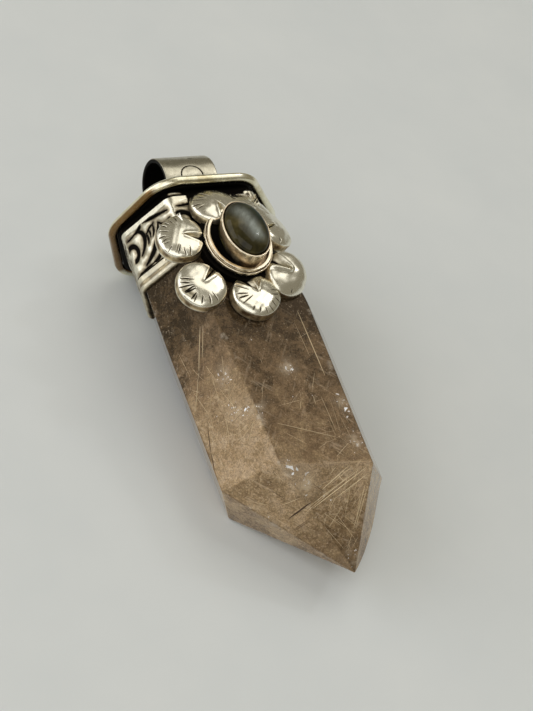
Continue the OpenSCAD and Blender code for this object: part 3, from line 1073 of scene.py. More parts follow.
    def surface(self) -> tuple[np.ndarray, dict[str, np.ndarray]]:
        """The whole skin and its marks: each ring is the six corners joined by straight sides.

        Every corner is softened by a curve, and the sides carry evenly spaced points.

        Returns:
            The points of shape (rows, columns, 3) and the marks by name.
        """
        c = self.corners()
        before, after = np.roll(c, 1, axis=1), np.roll(c, -1, axis=1)
        side = np.linalg.norm(after - c, axis=-1, keepdims=True)
        back = np.linalg.norm(before - c, axis=-1, keepdims=True)
        soft = np.minimum(self.edge_r, 0.3 * np.minimum(side, back))
        a, b = c + unit(before - c) * soft, c + unit(after - c) * soft
        rounds = 5
        t = np.linspace(0, 1, rounds)[None, None, :, None]
        bend = (1 - t) ** 2 * a[:, :, None] + 2 * t * (1 - t) * c[:, :, None] + t**2 * b[:, :, None]
        nxt = np.roll(a, -1, axis=1)
        u = np.concatenate([[self.crisp], np.linspace(0, 1, self.columns)[1:-1], [1 - self.crisp]])
        u = u[None, None, :, None]
        run = b[:, :, None] * (1 - u) + nxt[:, :, None] * u
        grid = np.concatenate([bend, run], axis=2).reshape(len(c), -1, 3)
        x, y = grid[..., 0], grid[..., 1]
        gap = np.concatenate([np.zeros(rounds), np.minimum(u, 1 - u).ravel()])
        away = (gap[None, None] * side).reshape(len(c), -1)
        columns, edge_y = self.columns + rounds, self.stone.edge_y
        along = y - np.interp(np.arange(grid.shape[1]) / columns, np.arange(7), [*edge_y, edge_y[0]])[None]
        edge = np.exp(-((np.minimum(away, np.abs(along)) / self.worn_w) ** 2))
        edge = np.maximum(edge, 0.9 * np.exp(-(((y - self.stone.tip[1]) / 0.8) ** 2)))
        face = np.repeat(np.arange(6), columns)
        # Each face's row of tones: the quartz's smoke, with painted light and shade face by face
        smoke = np.zeros(grid.shape[:2])
        for k, row in enumerate(self.smoke):
            smoke[:, face == k] = np.interp(along[:, face == k], self.smoke_at, row)
        smoke = np.clip(smoke + 0.05 * ripple(x, y, 5, 3), 0, 1)
        haze = np.zeros(grid.shape[:2])
        for where, px, py, size in self.clouds:
            middle, right, up, _ = where.frame(self.stone)
            gap = np.linalg.norm(grid - (middle + px * right + py * up), axis=-1)
            haze = np.maximum(haze, np.exp(-((gap / size) ** 2)))
        return grid, {"edge": edge, "smoke": smoke, "haze": haze}

    def outline(self, face: Facet) -> np.ndarray:
        """A face's corners on its own right and up axes.

        Args:
            face: The face.

        Returns:
            The corners in order round it, of shape (n, 2).
        """
        first, second, on_tip = face.value
        st, middle = self.stone, face.frame(self.stone)[0]
        foot = st.foot()
        if on_tip:
            ends = np.array([foot[first], st.tip, foot[second]])
        else:
            neck = np.insert(st.neck(), 1, st.neck_y, axis=1)
            top = np.insert(st.seat(), 1, self.levels.cap_start, axis=1)
            ends = np.array([foot[first], foot[second], neck[second], top[second], top[first], neck[first]])
        _, right, up, _ = face.frame(st)
        return np.stack([(ends - middle) @ right, (ends - middle) @ up], -1)

    def skin(self, face: Facet, x: np.ndarray, y: np.ndarray, depth: np.ndarray) -> np.ndarray:
        """Points on a face, or a depth under it: on the body each lies between the face's two long edges.

        Args:
            face: The face.
            x: How far right of the shoulder edge's middle each point lies.
            y: How far up it lies.
            depth: How far under the face it lies.

        Returns:
            The points, of shape (n, 3).
        """
        first, second, on_tip = face.value
        middle, right, up, out = face.frame(self.stone)
        if on_tip:
            return middle + x[:, None] * right + y[:, None] * up - depth[:, None] * out
        st, levels = self.stone, (0, self.stone.neck_y, self.levels.cap_start)
        edges = []
        for k in (first, second):
            across = np.interp(y, levels, [st.shoulder()[k, 0], st.neck()[k, 0], st.seat()[k, 0]])
            edges.append(np.column_stack([across, y, np.full(len(y), st.shoulder()[k, 1])]))
        a, b = (edges[0] - middle) @ right, (edges[1] - middle) @ right
        share = ((x - a) / (b - a))[:, None]
        return edges[0] * (1 - share) + edges[1] * share - depth[:, None] * out

    def room(self, face: Facet, place: np.ndarray) -> tuple[np.ndarray, np.ndarray]:
        """How much room a place has in a face.

        Args:
            face: The face.
            place: How far right and up the place lies.

        Returns:
            How far inside each side it lies, less the margin, and the sides' outward directions.
        """
        ring = self.outline(face)
        side = np.roll(ring, -1, axis=0) - ring
        normal = unit(np.stack([side[:, 1], -side[:, 0]], -1))
        normal = normal * np.sign(((ring - ring.mean(0)) * normal).sum(-1, keepdims=True))
        return ((ring - place) * normal).sum(-1) - self.margin, normal

    def scatter(self, count: int, seed: int) -> np.ndarray:
        """Fine needles that start about the fans' places and stop inside their face.

        A needle that would leave its face is cut where it meets the outline less the margin.

        Args:
            count: How many are tried; those that start outside their face are left out.
            seed: Makes the scatter the same each time.

        Returns:
            Rows of (start, end, radius, tone), of shape (n, 8).
        """
        rng = np.random.default_rng(seed)
        rows = []
        for k in range(count):
            face, px, py, spread, lean = self.fans[k % len(self.fans)]
            start = np.array([px, py]) + rng.normal(0, spread, 2)
            turn = math.radians(lean + rng.normal(0, 38))
            way = np.array([math.cos(turn), math.sin(turn)]) * rng.uniform(0.6, 4.5)
            room, normal = self.room(face, start)
            radius, tone = rng.uniform(0.01, 0.024), rng.uniform(0.2, 1.0)
            depth = rng.uniform(-0.004, 0.022, 2)
            if room.min() < 0:
                continue
            run = way @ normal.T
            way = way * min(1.0, (room[run > 1e-6] / run[run > 1e-6]).min())
            ends = self.skin(face, *np.stack([start, start + way]).T, depth)
            rows.append(np.concatenate([ends.ravel(), [radius, tone]]))
        return np.array(rows)

    def sunk(self, points: np.ndarray, look: np.ndarray, depth: float = 0.01) -> np.ndarray:
        """Points moved along the sight line until they lie just under every front face of the tip.

        A needle that crosses a ridge so goes on under the next face and still looks straight from the front.

        Args:
            points: The points, of shape (..., 3).
            look: The direction of sight.
            depth: How far under.

        Returns:
            The moved points.
        """
        push = np.zeros(points.shape[:-1])
        for face in (Facet.TIP_LEFT, Facet.TIP_FRONT, Facet.TIP_RIGHT, Facet.FRONT):
            middle, _, _, out = face.frame(self.stone)
            push = np.maximum(push, ((points - middle) @ out + depth) / -(look @ out))
        return points + push[..., None] * look

    def needles(self, name: str, which: tuple[Needle, ...], more: np.ndarray, look: np.ndarray) -> Shell:
        """The placed needles and the scattered ones, as thin four-sided spindles.

        A spindle's ring at share t of its length has the radius r sqrt(sin(pi t)) about its line.

        Args:
            name: The piece's name.
            which: The placed needles.
            more: Rows of further ones as (start, end, radius, tone).
            look: The direction of sight from the front.

        Returns:
            The shell that holds them all.
        """
        t = np.array([0.02, *np.linspace(0.06, 0.94, 19), 0.98])
        lines, sizes = [], [(n.width / 2, n.tone) for n in which] + list(map(tuple, more[:, 6:]))
        for n in which:
            ends = self.skin(n.face, *np.array([n.start, n.end]).T, np.array([0.01, 0.01]))
            line = ends[0] + t[:, None] * (ends[1] - ends[0])
            lines.append(self.sunk(line, look) if n.face.value[2] else line)
        lines += list(more[:, None, :3] + t[None, :, None] * (more[:, None, 3:6] - more[:, None, :3]))
        angle = (np.arange(4) * np.pi / 2 + np.pi / 4)[None, :, None]
        shell = Shell(name)
        for line, (radius, shade) in zip(lines, sizes):
            side = unit(np.cross(line[-1] - line[0], np.array([0.3, 0.2, 0.93])))
            top = unit(np.cross(line[-1] - line[0], side))
            thick = radius * np.sqrt(np.sin(np.pi * t))[:, None, None]
            spoke = thick * (np.cos(angle) * side + np.sin(angle) * top)
            shell.add(line[:, None] + spoke, tone=shade)
        return shell

    def sparks(self, look: np.ndarray) -> Shell:
        """The glints, painted as pale flakes that stay bright under any lamp, and small flakes strewn about
        each cloud.

        Each is a thin sliver over an uneven ellipse of seven corners, turned at random, inside its face.

        Args:
            look: The direction of sight from the front.

        Returns:
            The shell that holds them all.
        """
        rng = np.random.default_rng(11)
        rows = [(f, x, y, 0.65 * size) for f, x, y, size in self.glints]
        for face, x, y, size in self.clouds:
            count = int(10 * size) + 3
            right, up = rng.normal(0, 0.45 * size, (2, count))
            radii = rng.uniform(0.03, 0.13, count)
            rows += [(face, x + dx, y + dy, r) for dx, dy, r in zip(right, up, radii)]
        shell = Shell("quartz_glints")
        angle = np.linspace(0, 2 * np.pi, 7, endpoint=False)
        for face, px, py, size in rows:
            room = self.room(face, np.array([px, py]))[0].min()
            if room < 0:
                continue
            out = face.frame(self.stone)[3]
            r = min(size, room + 0.4) * rng.uniform(0.25, 1.3, 7)
            a, b = r * np.cos(angle), rng.uniform(0.3, 0.6) * r * np.sin(angle)
            turn = rng.uniform(0, np.pi)
            c, d = math.cos(turn), math.sin(turn)
            ring = self.skin(face, px + a * c - b * d, py + a * d + b * c, np.zeros(7))
            ring = self.sunk(ring, look, 0.0) if face.value[2] else ring
            lift = rng.uniform(0.008, 0.03, 7)[:, None] * out
            shell.add(np.stack([ring - 0.03 * out, ring + lift]), tone=rng.uniform(0.2, 1.0))
        return shell

    def build(self, pose: Resting) -> None:
        """Makes the quartz and what is in it.

        Args:
            pose: Lays the pieces down.
        """
        grid, marks = self.surface()
        skin = Shell("quartz_point")
        skin.add(grid, **marks)
        skin.build(pose, SmokyQuartz(), "quartz", "crystal", sharp=60)
        look = pose.from_front()
        gold = Inclusion("golden_rutile", (0.30, 0.21, 0.12), (0.80, 0.66, 0.44), 0.2, 0.35)
        rust = Inclusion("brown_rutile", (0.03, 0.014, 0.006), (0.13, 0.065, 0.025), 0.2, 0.35)
        # Pale non-metal flakes that stay bright under any lamp: painted glints
        flash = Inclusion("fracture_glint", (0.66, 0.65, 0.64), (0.97, 0.97, 1.0), 0.0, 0.3)
        golden = self.needles("golden_needles", self.golden, self.scatter(400, 5), look)
        brown = self.needles("brown_needles", self.brown, self.scatter(60, 8), look)
        for shell, finish in ((golden, gold), (brown, rust), (self.sparks(look), flash)):
            shell.build(pose, finish, "quartz", "crystal")


# ---------------------------------------------------------------- the cap


@dataclass
class Cap:
    """The ornamented band, the plate that closes it and the wire round the plate.

    The ornament is cut for a panel of the width "panel_w"; a face wider than "wide_face" carries two.
    "cuts" are its grooves, four control points each, "widths" their widths and "eye" its boss's middle.
    """

    stone: Stone
    levels: Levels
    sheet_t: float = 0.25
    relief_h: float = 0.25
    band_r: float = 1.2
    wide_face: float = 12.0
    panel_w: float = 7.9
    around: int = 720
    eye: tuple[float, float] = (-3.45, 0.72)
    cuts: tuple[tuple[tuple[float, float], ...], ...] = (
        ((-1.9, 2.85), (-0.6, 2.5), (-0.7, 0.9), (-2.3, -0.15)),
        ((-2.1, -1.5), (-0.6, -1.0), (0.9, 0.1), (1.6, 2.05)),
        ((-0.75, 1.45), (-0.5, 2.0), (0.1, 2.3), (0.95, 2.42)),
        ((-0.62, 1.9), (-0.45, 1.4), (-0.5, 1.0), (-0.75, 0.5)),
        ((-0.05, 2.1), (-0.05, 1.8), (0.05, 1.4), (-0.1, 1.0)),
        ((0.72, 2.25), (0.75, 1.7), (0.6, 1.4), (0.2, 0.95)),
        ((-2.3, 2.85), (-1.8, 2.75), (-1.3, 3.0), (-0.8, 3.35)),
        ((-3.7, 2.6), (-3.1, 2.6), (-2.5, 2.75), (-1.9, 2.85)),
        ((-0.6, 3.3), (0.5, 3.25), (1.8, 2.95), (3.5, 2.6)),
        ((-0.9, -1.85), (-0.2, -1.9), (0.3, -1.7), (0.6, -1.1)),
        ((0.55, -0.8), (0.6, -1.2), (0.5, -1.5), (0.1, -1.75)),
        ((-3.6, -2.0), (-2.6, -1.95), (-1.8, -1.95), (-0.8, -1.88)),
        ((1.75, 2.0), (2.0, 1.3), (2.6, 1.4), (3.5, 1.6)),
        ((1.1, -1.2), (2.0, -0.7), (2.7, 0.1), (2.9, 1.0)),
        ((1.6, -1.8), (2.4, -1.4), (3.1, -0.7), (3.5, 0.3)),
    )
    widths: tuple[float, ...] = (
        0.56, 0.66, 0.26, 0.3, 0.24, 0.3, 0.46, 0.24, 0.4, 0.5, 0.5, 0.24, 0.32, 0.36, 0.3,
    )

    def field(self, x: np.ndarray, y: np.ndarray) -> np.ndarray:
        """How deep the ornament is cut at each place of a face: 0 on its surface, 1 at the bottom.

        The cuts are grooves along curves, and a ring round the boss: |distance from the eye - 0.86|.

        Args:
            x: How far right of the face's middle each place lies.
            y: How far over it the place lies.

        Returns:
            The depths.
        """
        places = np.stack([x, y], -1)
        depth, near = np.zeros(x.shape), np.zeros(x.shape)
        for line, width in zip(bezier(np.array(self.cuts)), self.widths):
            depth = np.maximum(depth, groove(places, line, width))
            near = np.maximum(near, groove(places, line, width + 0.55, 0.8))
        dx, dy = x - self.eye[0], y - self.eye[1]
        ring = np.abs(np.hypot(dx, dy * 0.88) - 0.86)
        arc = strip(np.degrees(np.arctan2(dy, dx)), -112, 178, 30)
        depth = np.maximum(depth, smooth(1.25 - 0.75 * ring / 0.25) * arc)
        near = np.maximum(near, smooth(1.25 - 0.75 * ring / 0.5) * arc)
        return np.maximum(depth, 0.3 * near)

    def band(self) -> tuple[np.ndarray, np.ndarray, np.ndarray]:
        """The band as a closed strip: out along its ornamented face and back along its plain inside.

        A place moves out from the sheet by the relief's height, which is the tallest of the mouldings'
        and the field's soft strips less the cuts.

        Returns:
            The points of shape (rows, columns, 3), the polish mark and the wall mark.
        """
        lv = self.levels
        ring = Ring.around(self.stone.seat(), SEAT_GAP + self.sheet_t, self.band_r, self.around)
        top = lv.band_h + lv.collar_h
        rows = np.concatenate([np.linspace(0, lv.band_h, 104), np.linspace(lv.band_h + 0.05, top, 9)])
        s, v = np.meshgrid(ring.length, rows)
        total = ring.length[-1] + ring.length[1]

        def past(place: float) -> np.ndarray:
            """How far round from a place each point lies, the shorter way."""
            return (s - place + total / 2) % total - total / 2

        cut = np.zeros(s.shape)
        for middle, width in zip(ring.middles, ring.widths):
            panels = [0.0] if width < self.wide_face else [-width / 4, width / 4]
            wide = width / len(panels)
            for offset in panels:
                away = past(middle + offset)
                near = np.abs(away[0]) < wide / 2
                cut[:, near] = self.field(-away[:, near] / (wide / self.panel_w), v[:, near] - lv.band_h / 2)
        wave = 0.05 * ripple(s, v, 2.4, 4)
        low = strip(v, -0.05, 0.66 + wave, 0.16)
        middle = np.maximum(strip(v, 0.8 + wave, 1.76, 0.2), 0.62 * strip(v, 0, 1.7, 0.1))
        high = strip(v, 6.98 + 1.6 * wave, lv.band_h + 0.08, 0.16)
        cut = cut * strip(v, 1.6, 7.32, 0.1)
        dents = smooth((0.14 - np.abs(v - 1.3 - 0.8 * wave)) / 0.1)
        dents = dents * smooth((ripple(s, v, 3.1, 9) - 0.42) / 0.1)
        ornament = strip(v, 1.72, 7.2, 0.12) * (0.86 + 0.14 * ripple(s, v, 1.7, 6)) * (1 - cut)
        height = np.maximum.reduce([0.95 * low, middle * (1 - 0.6 * dents), ornament, high])
        height = np.clip(height + 0.03 * ripple(s, v, 0.9, 7), 0, 1.0) * (v <= lv.band_h)
        # On the front face only crumbs of the ornament stand out beside the flower, and a bead over
        # its corner; the flattened rest turns black through its polish: painted shade beside the flower
        side = -past(ring.middles[1])
        crumbs = smooth((ripple(s, v, 1.0, 13) - 0.2) / 0.4)
        height = height * (1 - 0.8 * strip(side, -3.3, 5.0, 0.3) * (v > 1.8) * (1 - crumbs))
        bead = strip(side, -5.6 + 0.3 * wave, -3.3, 0.6) * strip(v, lv.band_h + 0.05, lv.band_h + 0.75, 0.3)
        height = np.maximum(height, bead * (0.75 + 0.25 * ripple(s, v, 1.2, 15)))
        # The ring's edge rolls in at the open end, so that no sheet shows a square corner
        move = self.relief_h * height - 0.12 * (1 - smooth(v / 0.2))
        outer = ring.points[None] + move[..., None] * ring.normals[None]
        seat = Ring.around(self.stone.seat(), SEAT_GAP, 0.9, self.around)
        inner = np.broadcast_to(seat.points, (4, self.around, 2))
        back = np.broadcast_to(np.linspace(top, 0, 4)[:, None], (4, self.around))
        sides, levels = np.concatenate([outer, inner]), np.concatenate([v, back]) + lv.cap_start
        polish = np.clip(1.25 * height - 0.2, 0, 1) * (1 - 0.8 * smooth((cut - 0.3) / 0.5))
        hidden = ((0, 4), (0, 0))
        # A painted brown reflection low on the band, by its open end
        wall = np.pad(0.35 * strip(v, -1, 1.8, 0.4), hidden)
        return np.stack([sides[..., 0], levels, sides[..., 1]], -1), np.pad(polish, hidden), wall

    def plate(self) -> tuple[np.ndarray, np.ndarray]:
        """The plate: rings that grow from its middle, go round its softened edge and shrink back.

        Returns:
            The points of shape (rows, columns, 3) and the polish mark.
        """
        lv = self.levels
        edge = Ring.around(self.stone.rim(), lv.rim_out - lv.wire_d / 2 - HAIR, lv.rim_r - lv.wire_d / 2, 300)
        centre = edge.points.mean(0)
        line = filleted(np.array([[0.0, 0.0], [1.0, 0.0], [1.0, lv.plate_t], [0.0, lv.plate_t]]), 0.1, 5)
        share = np.concatenate([np.linspace(0.02, 0.95, 24), line[1:-1, 0], np.linspace(0.95, 0.02, 24)])
        rise = np.concatenate([np.zeros(24), line[1:-1, 1], np.full(24, lv.plate_t)])
        flat = centre + share[:, None, None] * (edge.points - centre)
        uneven = 0.05 * ripple(flat[..., 0], flat[..., 1], 7.0, 12)
        dents = np.minimum(uneven * (rise[:, None] > 0.5) * (share[:, None] < 0.9), 0)
        y = lv.plate_y + rise[:, None] + dents
        grid = np.stack([flat[..., 0], np.broadcast_to(y, flat.shape[:2]), flat[..., 1]], -1)
        # The underside is black, partly oxide and partly painted shade; the top is polished
        return grid, np.broadcast_to(smooth((rise - 0.3) / 0.4)[:, None] * 0.85, flat.shape[:2])

    def rim(self) -> tuple[np.ndarray, np.ndarray]:
        """The wire: a circle worn nearly flat along its crest, carried round the plate's edge.

        Its radius at the angle a is the soft lesser of r and r cos(b) / cos(a - c), where c is the
        crest's angle, -0.27, and b half the angle that the flat spans, 0.42.

        Returns:
            The points of shape (rows, columns, 3) and the mark for its painted shade and brown reflection.
        """
        lv = self.levels
        ring = Ring.around(self.stone.rim(), lv.rim_out, lv.rim_r, 420)
        a = np.linspace(0, 2 * np.pi, 40, endpoint=False)[:, None]
        r = lv.wire_d / 2
        chord = math.cos(0.42) / np.maximum(np.cos(a + 0.27), 0.2)
        r = r * (1 + chord**-40.0) ** (-1 / 40)
        out = (r * np.cos(a))[..., None] * ring.normals[None]
        y = np.broadcast_to(lv.wire_y + r * np.sin(a), (40, 420))
        flat = ring.points[None] + out
        # Painted shade on the side that faces the cap, and a painted brown reflection over the left bars
        inner = smooth((-np.cos(a) - 0.35) / 0.4) * np.ones((1, 420))
        leftward = smooth((-ring.normals[:, 0] - 0.66) / 0.2)[None]
        inner = np.maximum(inner, 0.95 * leftward * smooth((0.16 - np.sin(a)) / 0.3))
        return np.stack([flat[..., 0], y, flat[..., 1]], -1), inner

    def build(self, pose: Resting) -> None:
        """Makes the band, the plate and the rim wire.

        Args:
            pose: Lays the pieces down.
        """
        grid, polish, wall = self.band()
        band = Shell("cap_band")
        band.add(grid, wrap_rows=True, polish=polish, wall=wall)
        silver = AgedSilver("cast_silver_blackened", (0.81, 0.775, 0.64), (0.40, 0.35, 0.25), 0.22, 0.012)
        band.build(pose, silver, "cap_silver", "cap")
        grid, polish = self.plate()
        plate = Shell("cap_plate")
        plate.add(grid, polish=polish)
        silver = AgedSilver("plate_silver", (0.66, 0.63, 0.56), (0.36, 0.33, 0.28), 0.34, 0.008)
        plate.build(pose, silver, "cap_silver", "cap")
        grid, inner = self.rim()
        rim = Shell("rim_wire_brass")
        rim.add(grid, wrap_rows=True, inner=inner)
        rim.build(pose, PaleBrass(), "rim_brass", "rim_wire")


@dataclass
class Bail:
    """The wide strap bent into a loop, with the rounded end of the strap scribed on it.

    "tongue_r" is that end's radius and "tongue_angle" where it lies round the loop, in degrees. "foot" is
    the solder's width, height and depth.
    """

    levels: Levels
    strap_t: float = 0.55
    strap_w: float = 6.8
    edge_r: float = 0.16
    tongue_r: float = 1.4
    tongue_angle: float = 106.0
    foot: tuple[float, float, float] = (6.0, 0.9, 2.6)

    def loop(self) -> tuple[np.ndarray, dict[str, np.ndarray]]:
        """The strap: a soft-cornered oblong section carried round a circle.

        Returns:
            The points of shape (rows, columns, 3) and the marks by name.
        """
        lv = self.levels
        w, t = self.strap_w / 2, self.strap_t
        corner = filleted(np.array([[-w + 0.5, 0], [-w, 0], [-w, -t], [-w + 0.5, -t]]), self.edge_r, 6)
        top = np.column_stack([np.linspace(-w + 0.5, w - 0.5, 110), np.zeros(110)])[1:-1]
        under = np.column_stack([np.linspace(w - 0.5, -w + 0.5, 12), np.full(12, -t)])[1:-1]
        section = np.concatenate([corner[::-1], top, corner * [-1, 1], under])
        angle = np.radians(np.linspace(0, 360, 400, endpoint=False))
        x = np.broadcast_to(section[:, :1], (len(section), 400))
        out = np.broadcast_to(section[:, 1:], (len(section), 400))
        arc = lv.bail_d / 2 * (np.radians(self.tongue_angle) - angle)[None]
        away = np.hypot(x - 0.05, arc)
        scribe = smooth(1 - np.abs(away - self.tongue_r) / 0.11) * (arc > -0.3) * (out > -0.1)
        pit = np.exp(-(((x - 0.8) / 0.22) ** 2 + ((arc - 2.75) / 0.1) ** 2)) * (out > -0.1)
        hammer = 0.02 * ripple(x, np.broadcast_to(arc, x.shape), 2.6, 21) - 0.02
        r = lv.bail_d / 2 + out + (hammer - 0.05 * scribe - 0.03 * pit) * (out > -0.1)
        y, z = lv.bail_y + r * np.cos(angle), -lv.bail_depth + r * np.sin(angle)
        grid = np.stack([lv.bail_side + x, y, z], -1)
        face = smooth((out + 0.2) / 0.15)
        polish = np.clip(face * (0.84 - 0.9 * scribe - 0.5 * pit), 0, 1)
        return grid, {"polish": polish, "wall": 0.0}

    def block(self) -> np.ndarray:
        """The block of solder under the loop: an oblong whose outline and height are both rounded.

        Its outline is |cos a|^0.3 by |sin a|^0.3, each with its sign, times half its width and depth.

        Returns:
            The points of shape (rows, columns, 3).
        """
        lv = self.levels
        w, h, d = self.foot
        a = np.linspace(0, 2 * np.pi, 64, endpoint=False)
        c, s = np.cos(a), np.sin(a)
        wide, deep = w / 2 * np.sign(c) * np.abs(c) ** 0.3, d / 2 * np.sign(s) * np.abs(s) ** 0.3
        outline = np.column_stack([wide, deep])
        share = np.array([0.96, 1.0, 1.0, 0.97, 0.86, 0.4])[:, None, None]
        rise = np.array([0.0, 0.05, 0.5, 0.75, 0.92, 1.0])[:, None] * h
        flat = share * outline[None]
        y = np.broadcast_to(lv.bail_y - lv.bail_d / 2 + rise, flat.shape[:2])
        return np.stack([lv.bail_side + flat[..., 0], y, -lv.bail_depth + flat[..., 1]], -1)

    def build(self, pose: Resting) -> None:
        """Makes the bail.

        Args:
            pose: Lays it down.
        """
        shell = Shell("bail_strap")
        grid, marks = self.loop()
        shell.add(grid, wrap_rows=True, **marks)
        shell.add(self.block(), polish=0.35)
        silver = AgedSilver("satin_silver", (0.56, 0.53, 0.43), (0.26, 0.24, 0.18), 0.2, 0.009)
        shell.build(pose, silver, "bail_silver", "bail")


# ---------------------------------------------------------------- the flower and its stone


@dataclass(frozen=True)
class Petal:
    """One petal: its direction, distance from the flower's middle, droop and rise, and how it is cut.

    Strokes come in groups of (first direction, last direction, how many, length as a share of the radius),
    with directions in degrees from the petal's outer end. "notch" and "skew" are the notch's size and
    lean, "flange" how far the foot spreads, "puff" and "crest" how high the top is and how far it leans,
    "lip" the notch's raised edge, and "painted_brown_reflection" how much painted brown reflection its side
    takes.
    """

    turn: float
    away: float
    droop: float
    rise: float
    strokes: tuple[tuple[float, float, int, float], ...]
    notch: float = 1.0
    flange: float = 0.0
    dent: bool = False
    puff: float = 1.0
    lip: float = 0.1
    skew: float = 0.15
    painted_brown_reflection: float = 0.8
    crest: float = 0.0


@dataclass
class Flower:
    """Seven puffed petals with notched inner ends, on a dark oval plate: their width, length and dome."""

    stone: Stone
    levels: Levels
    petal_w: float = 6.0
    petal_l: float = 5.6
    petal_dome: float = 0.5
    around: int = 230
    petals: tuple[Petal, ...] = (
        Petal(99, 5.3, 16, 1.1, ((22, 92, 5, 0.4),), 0.9, puff=1.2, painted_brown_reflection=0.3),
        Petal(161, 6.3, 10, 0, ((-75, 120, 13, 0.32),), 0.75, 1.0, skew=0.0),
        Petal(217, 7.1, 10, 0, ((-66, 0, 6, 0.5), (16, 75, 4, 0.36)), 0.62, 1.0, True),
        Petal(
            270, 6.75, 0, 0, ((-118, -62, 4, 0.5), (-28, 28, 4, 0.24), (48, 100, 4, 0.34)),
            1.7, 0.3, skew=0.45,
        ),
        Petal(319, 6.45, 20, 0.85, ((-50, 0, 2, 0.16),), 1.1, 0.3, puff=1.7, lip=0.3, skew=-0.2, crest=0.75),
        Petal(20, 5.7, 26, 1.2, ((-110, -60, 2, 0.2),), 0.7, 0.2),
        Petal(52, 5.7, 20, 0.9, ((60, 110, 3, 0.2),), 0.8, 0.2),
    )

    def floor_under(self, x: np.ndarray, y: np.ndarray) -> np.ndarray:
        """The lowest height that a petal may reach: just over the crystal or the band.

        Args:
            x: How far right each place lies.
            y: How far along the pendant it lies.

        Returns:
            The height at each place.
        """
        slack = np.where(y > self.levels.cap_start - 0.1, 0.62, 0.03)
        left = -self.stone.front_w / 2 - self.stone.left_lean * smooth(y / 20)
        right = self.stone.front_w / 2 + 0.3
        right = np.where(y > 22, right - 1.7 * smooth((y - 20) / 7), right)
        fall = np.maximum(np.maximum(left - x, 0) * 1.66, np.maximum(x - right, 0) * 1.38)
        return slack * np.where(fall > 0, 2.0, 1.0) - fall

    def strokes(self, p: Petal, places: np.ndarray, rng: np.random.Generator) -> np.ndarray:
        """The petal's engraved strokes: straight cuts that run in from near its edge.

        Args:
            p: The petal.
            places: The places on it, of shape (..., 2).
            rng: Makes each stroke a little uneven.

        Returns:
            How deep each place is cut, from 0 to 1.
        """
        cut = np.zeros(places.shape[:-1])
        for first, last, number, reach in p.strokes:
            for k in range(number):
                step = k + rng.uniform(-0.3, 0.3)
                turn = math.radians(first + (last - first) * step / max(number - 1, 1))
                stop = rng.uniform(0.82, 0.93)
                start = stop - reach * rng.uniform(0.6, 1.1)
                way = np.array([self.petal_l / 2 * math.cos(turn), self.petal_w / 2 * math.sin(turn)])
                lean = rng.normal(0, 0.018) * np.array([-way[1], way[0]])
                line = np.linspace(start, stop, 5)[:, None] * way + np.linspace(-1, 1, 5)[:, None] * lean
                stroke = groove(places, line, rng.uniform(0.1, 0.17), 0.4) * rng.uniform(0.6, 1.0)
                cut = np.maximum(cut, stroke)
        return cut

    def petal(self, p: Petal, seed: int) -> tuple[np.ndarray, dict[str, np.ndarray]]:
        """One petal as rings that shrink from its upright edge to the top of its dome.

        The top at share r of its outline has the height dome (1 - r^2.4), less the notch's valley and
        the strokes; the notch has raised lips. The crest leans the dome toward its outer end and a side.

        Args:
            p: The petal's place and cuts.
            seed: Makes its unevenness its own.

        Returns:
            The points of shape (rows, columns, 3) and the marks by name.
        """
        lv, rng = self.levels, np.random.default_rng(seed)
        half_l, half_w = self.petal_l / 2, self.petal_w / 2
        a = np.linspace(0, 2 * np.pi, self.around, endpoint=False)
        from_notch = np.angle(np.exp(1j * (a - np.pi)))
        uneven = 1 + 0.012 * np.sin(3 * a + rng.uniform(0, 6))
        uneven = uneven + 0.008 * np.sin(5 * a + rng.uniform(0, 6)) - 0.02
        uneven = uneven * (1 - 0.10 * p.notch * np.exp(-((from_notch / 0.28) ** 2)))
        outline = np.column_stack([half_l * np.cos(a), half_w * np.sin(a)]) * uneven[:, None]
        lip = 0.022 * p.flange
        wall_r = np.array(
            [0.90, 0.975 + lip, 0.985 + lip, 0.988 + lip, 0.985 + lip, 0.985, 0.99, 0.992, 0.985]
        )
        wall_z = np.array([0.0, 0.0, 0.04, 0.12, 0.17, 0.23, 0.5, 0.75, 0.93])
        share = np.concatenate([wall_r, np.linspace(0.975, 0.015, 62)])
        flat = share[:, None, None] * outline[None]
        x, y = flat[..., 0], flat[..., 1]
        rise = self.petal_dome * p.puff * (1 - share**2.4)
        shoulder = 0.27 * np.sqrt(np.clip(1 - (share / 0.985) ** 14, 0, 1))
        top_z = (lv.petal_edge - 0.25 + shoulder + rise)[len(wall_z) :]
        z = np.concatenate([wall_z, top_z])[:, None] * np.ones((1, self.around))
        on_top = (np.arange(len(share)) >= len(wall_z)).astype(float)[:, None]
        z = z + on_top * (0.05 * ripple(x, y, 2.4, seed + 40) + 0.02 * ripple(x, y, 1.0, seed + 50))
        z = z + on_top * rise[:, None] * p.crest * (0.8 * x + 0.6 * y) / half_w
        cut = self.strokes(p, np.stack([x, y], -1), rng)
        half = np.clip(-0.95 * p.notch * (x + 0.1) / half_l, 0.01, 2.0)
        mouth = smooth((-x / half_l + 0.05) / 0.2)
        off = y / half + p.skew
        valley = np.clip(1 - np.where(off < 0, -off / (1 + p.skew), off / (1 - p.skew)) * 0.9, 0, 1) * mouth
        lips = np.exp(-(((np.abs(y) - half - 0.12) / 0.25) ** 2)) * mouth
        dent = np.exp(-(((x - 1.9) / 0.4) ** 2 + ((y + 0.5) / 1.0) ** 2)) if p.dent else 0.0
        depth = min(p.notch, 1.0)
        z = z + on_top * (p.lip * lips * depth - 0.75 * depth * valley - 0.08 * cut - 0.12 * dent)
        shade = 0.2 * smooth(valley / 0.3) + 0.7 * smooth((valley - 0.66) / 0.25)
        polish = on_top * np.clip(0.95 - cut - shade - 0.5 * dent, 0, 1)
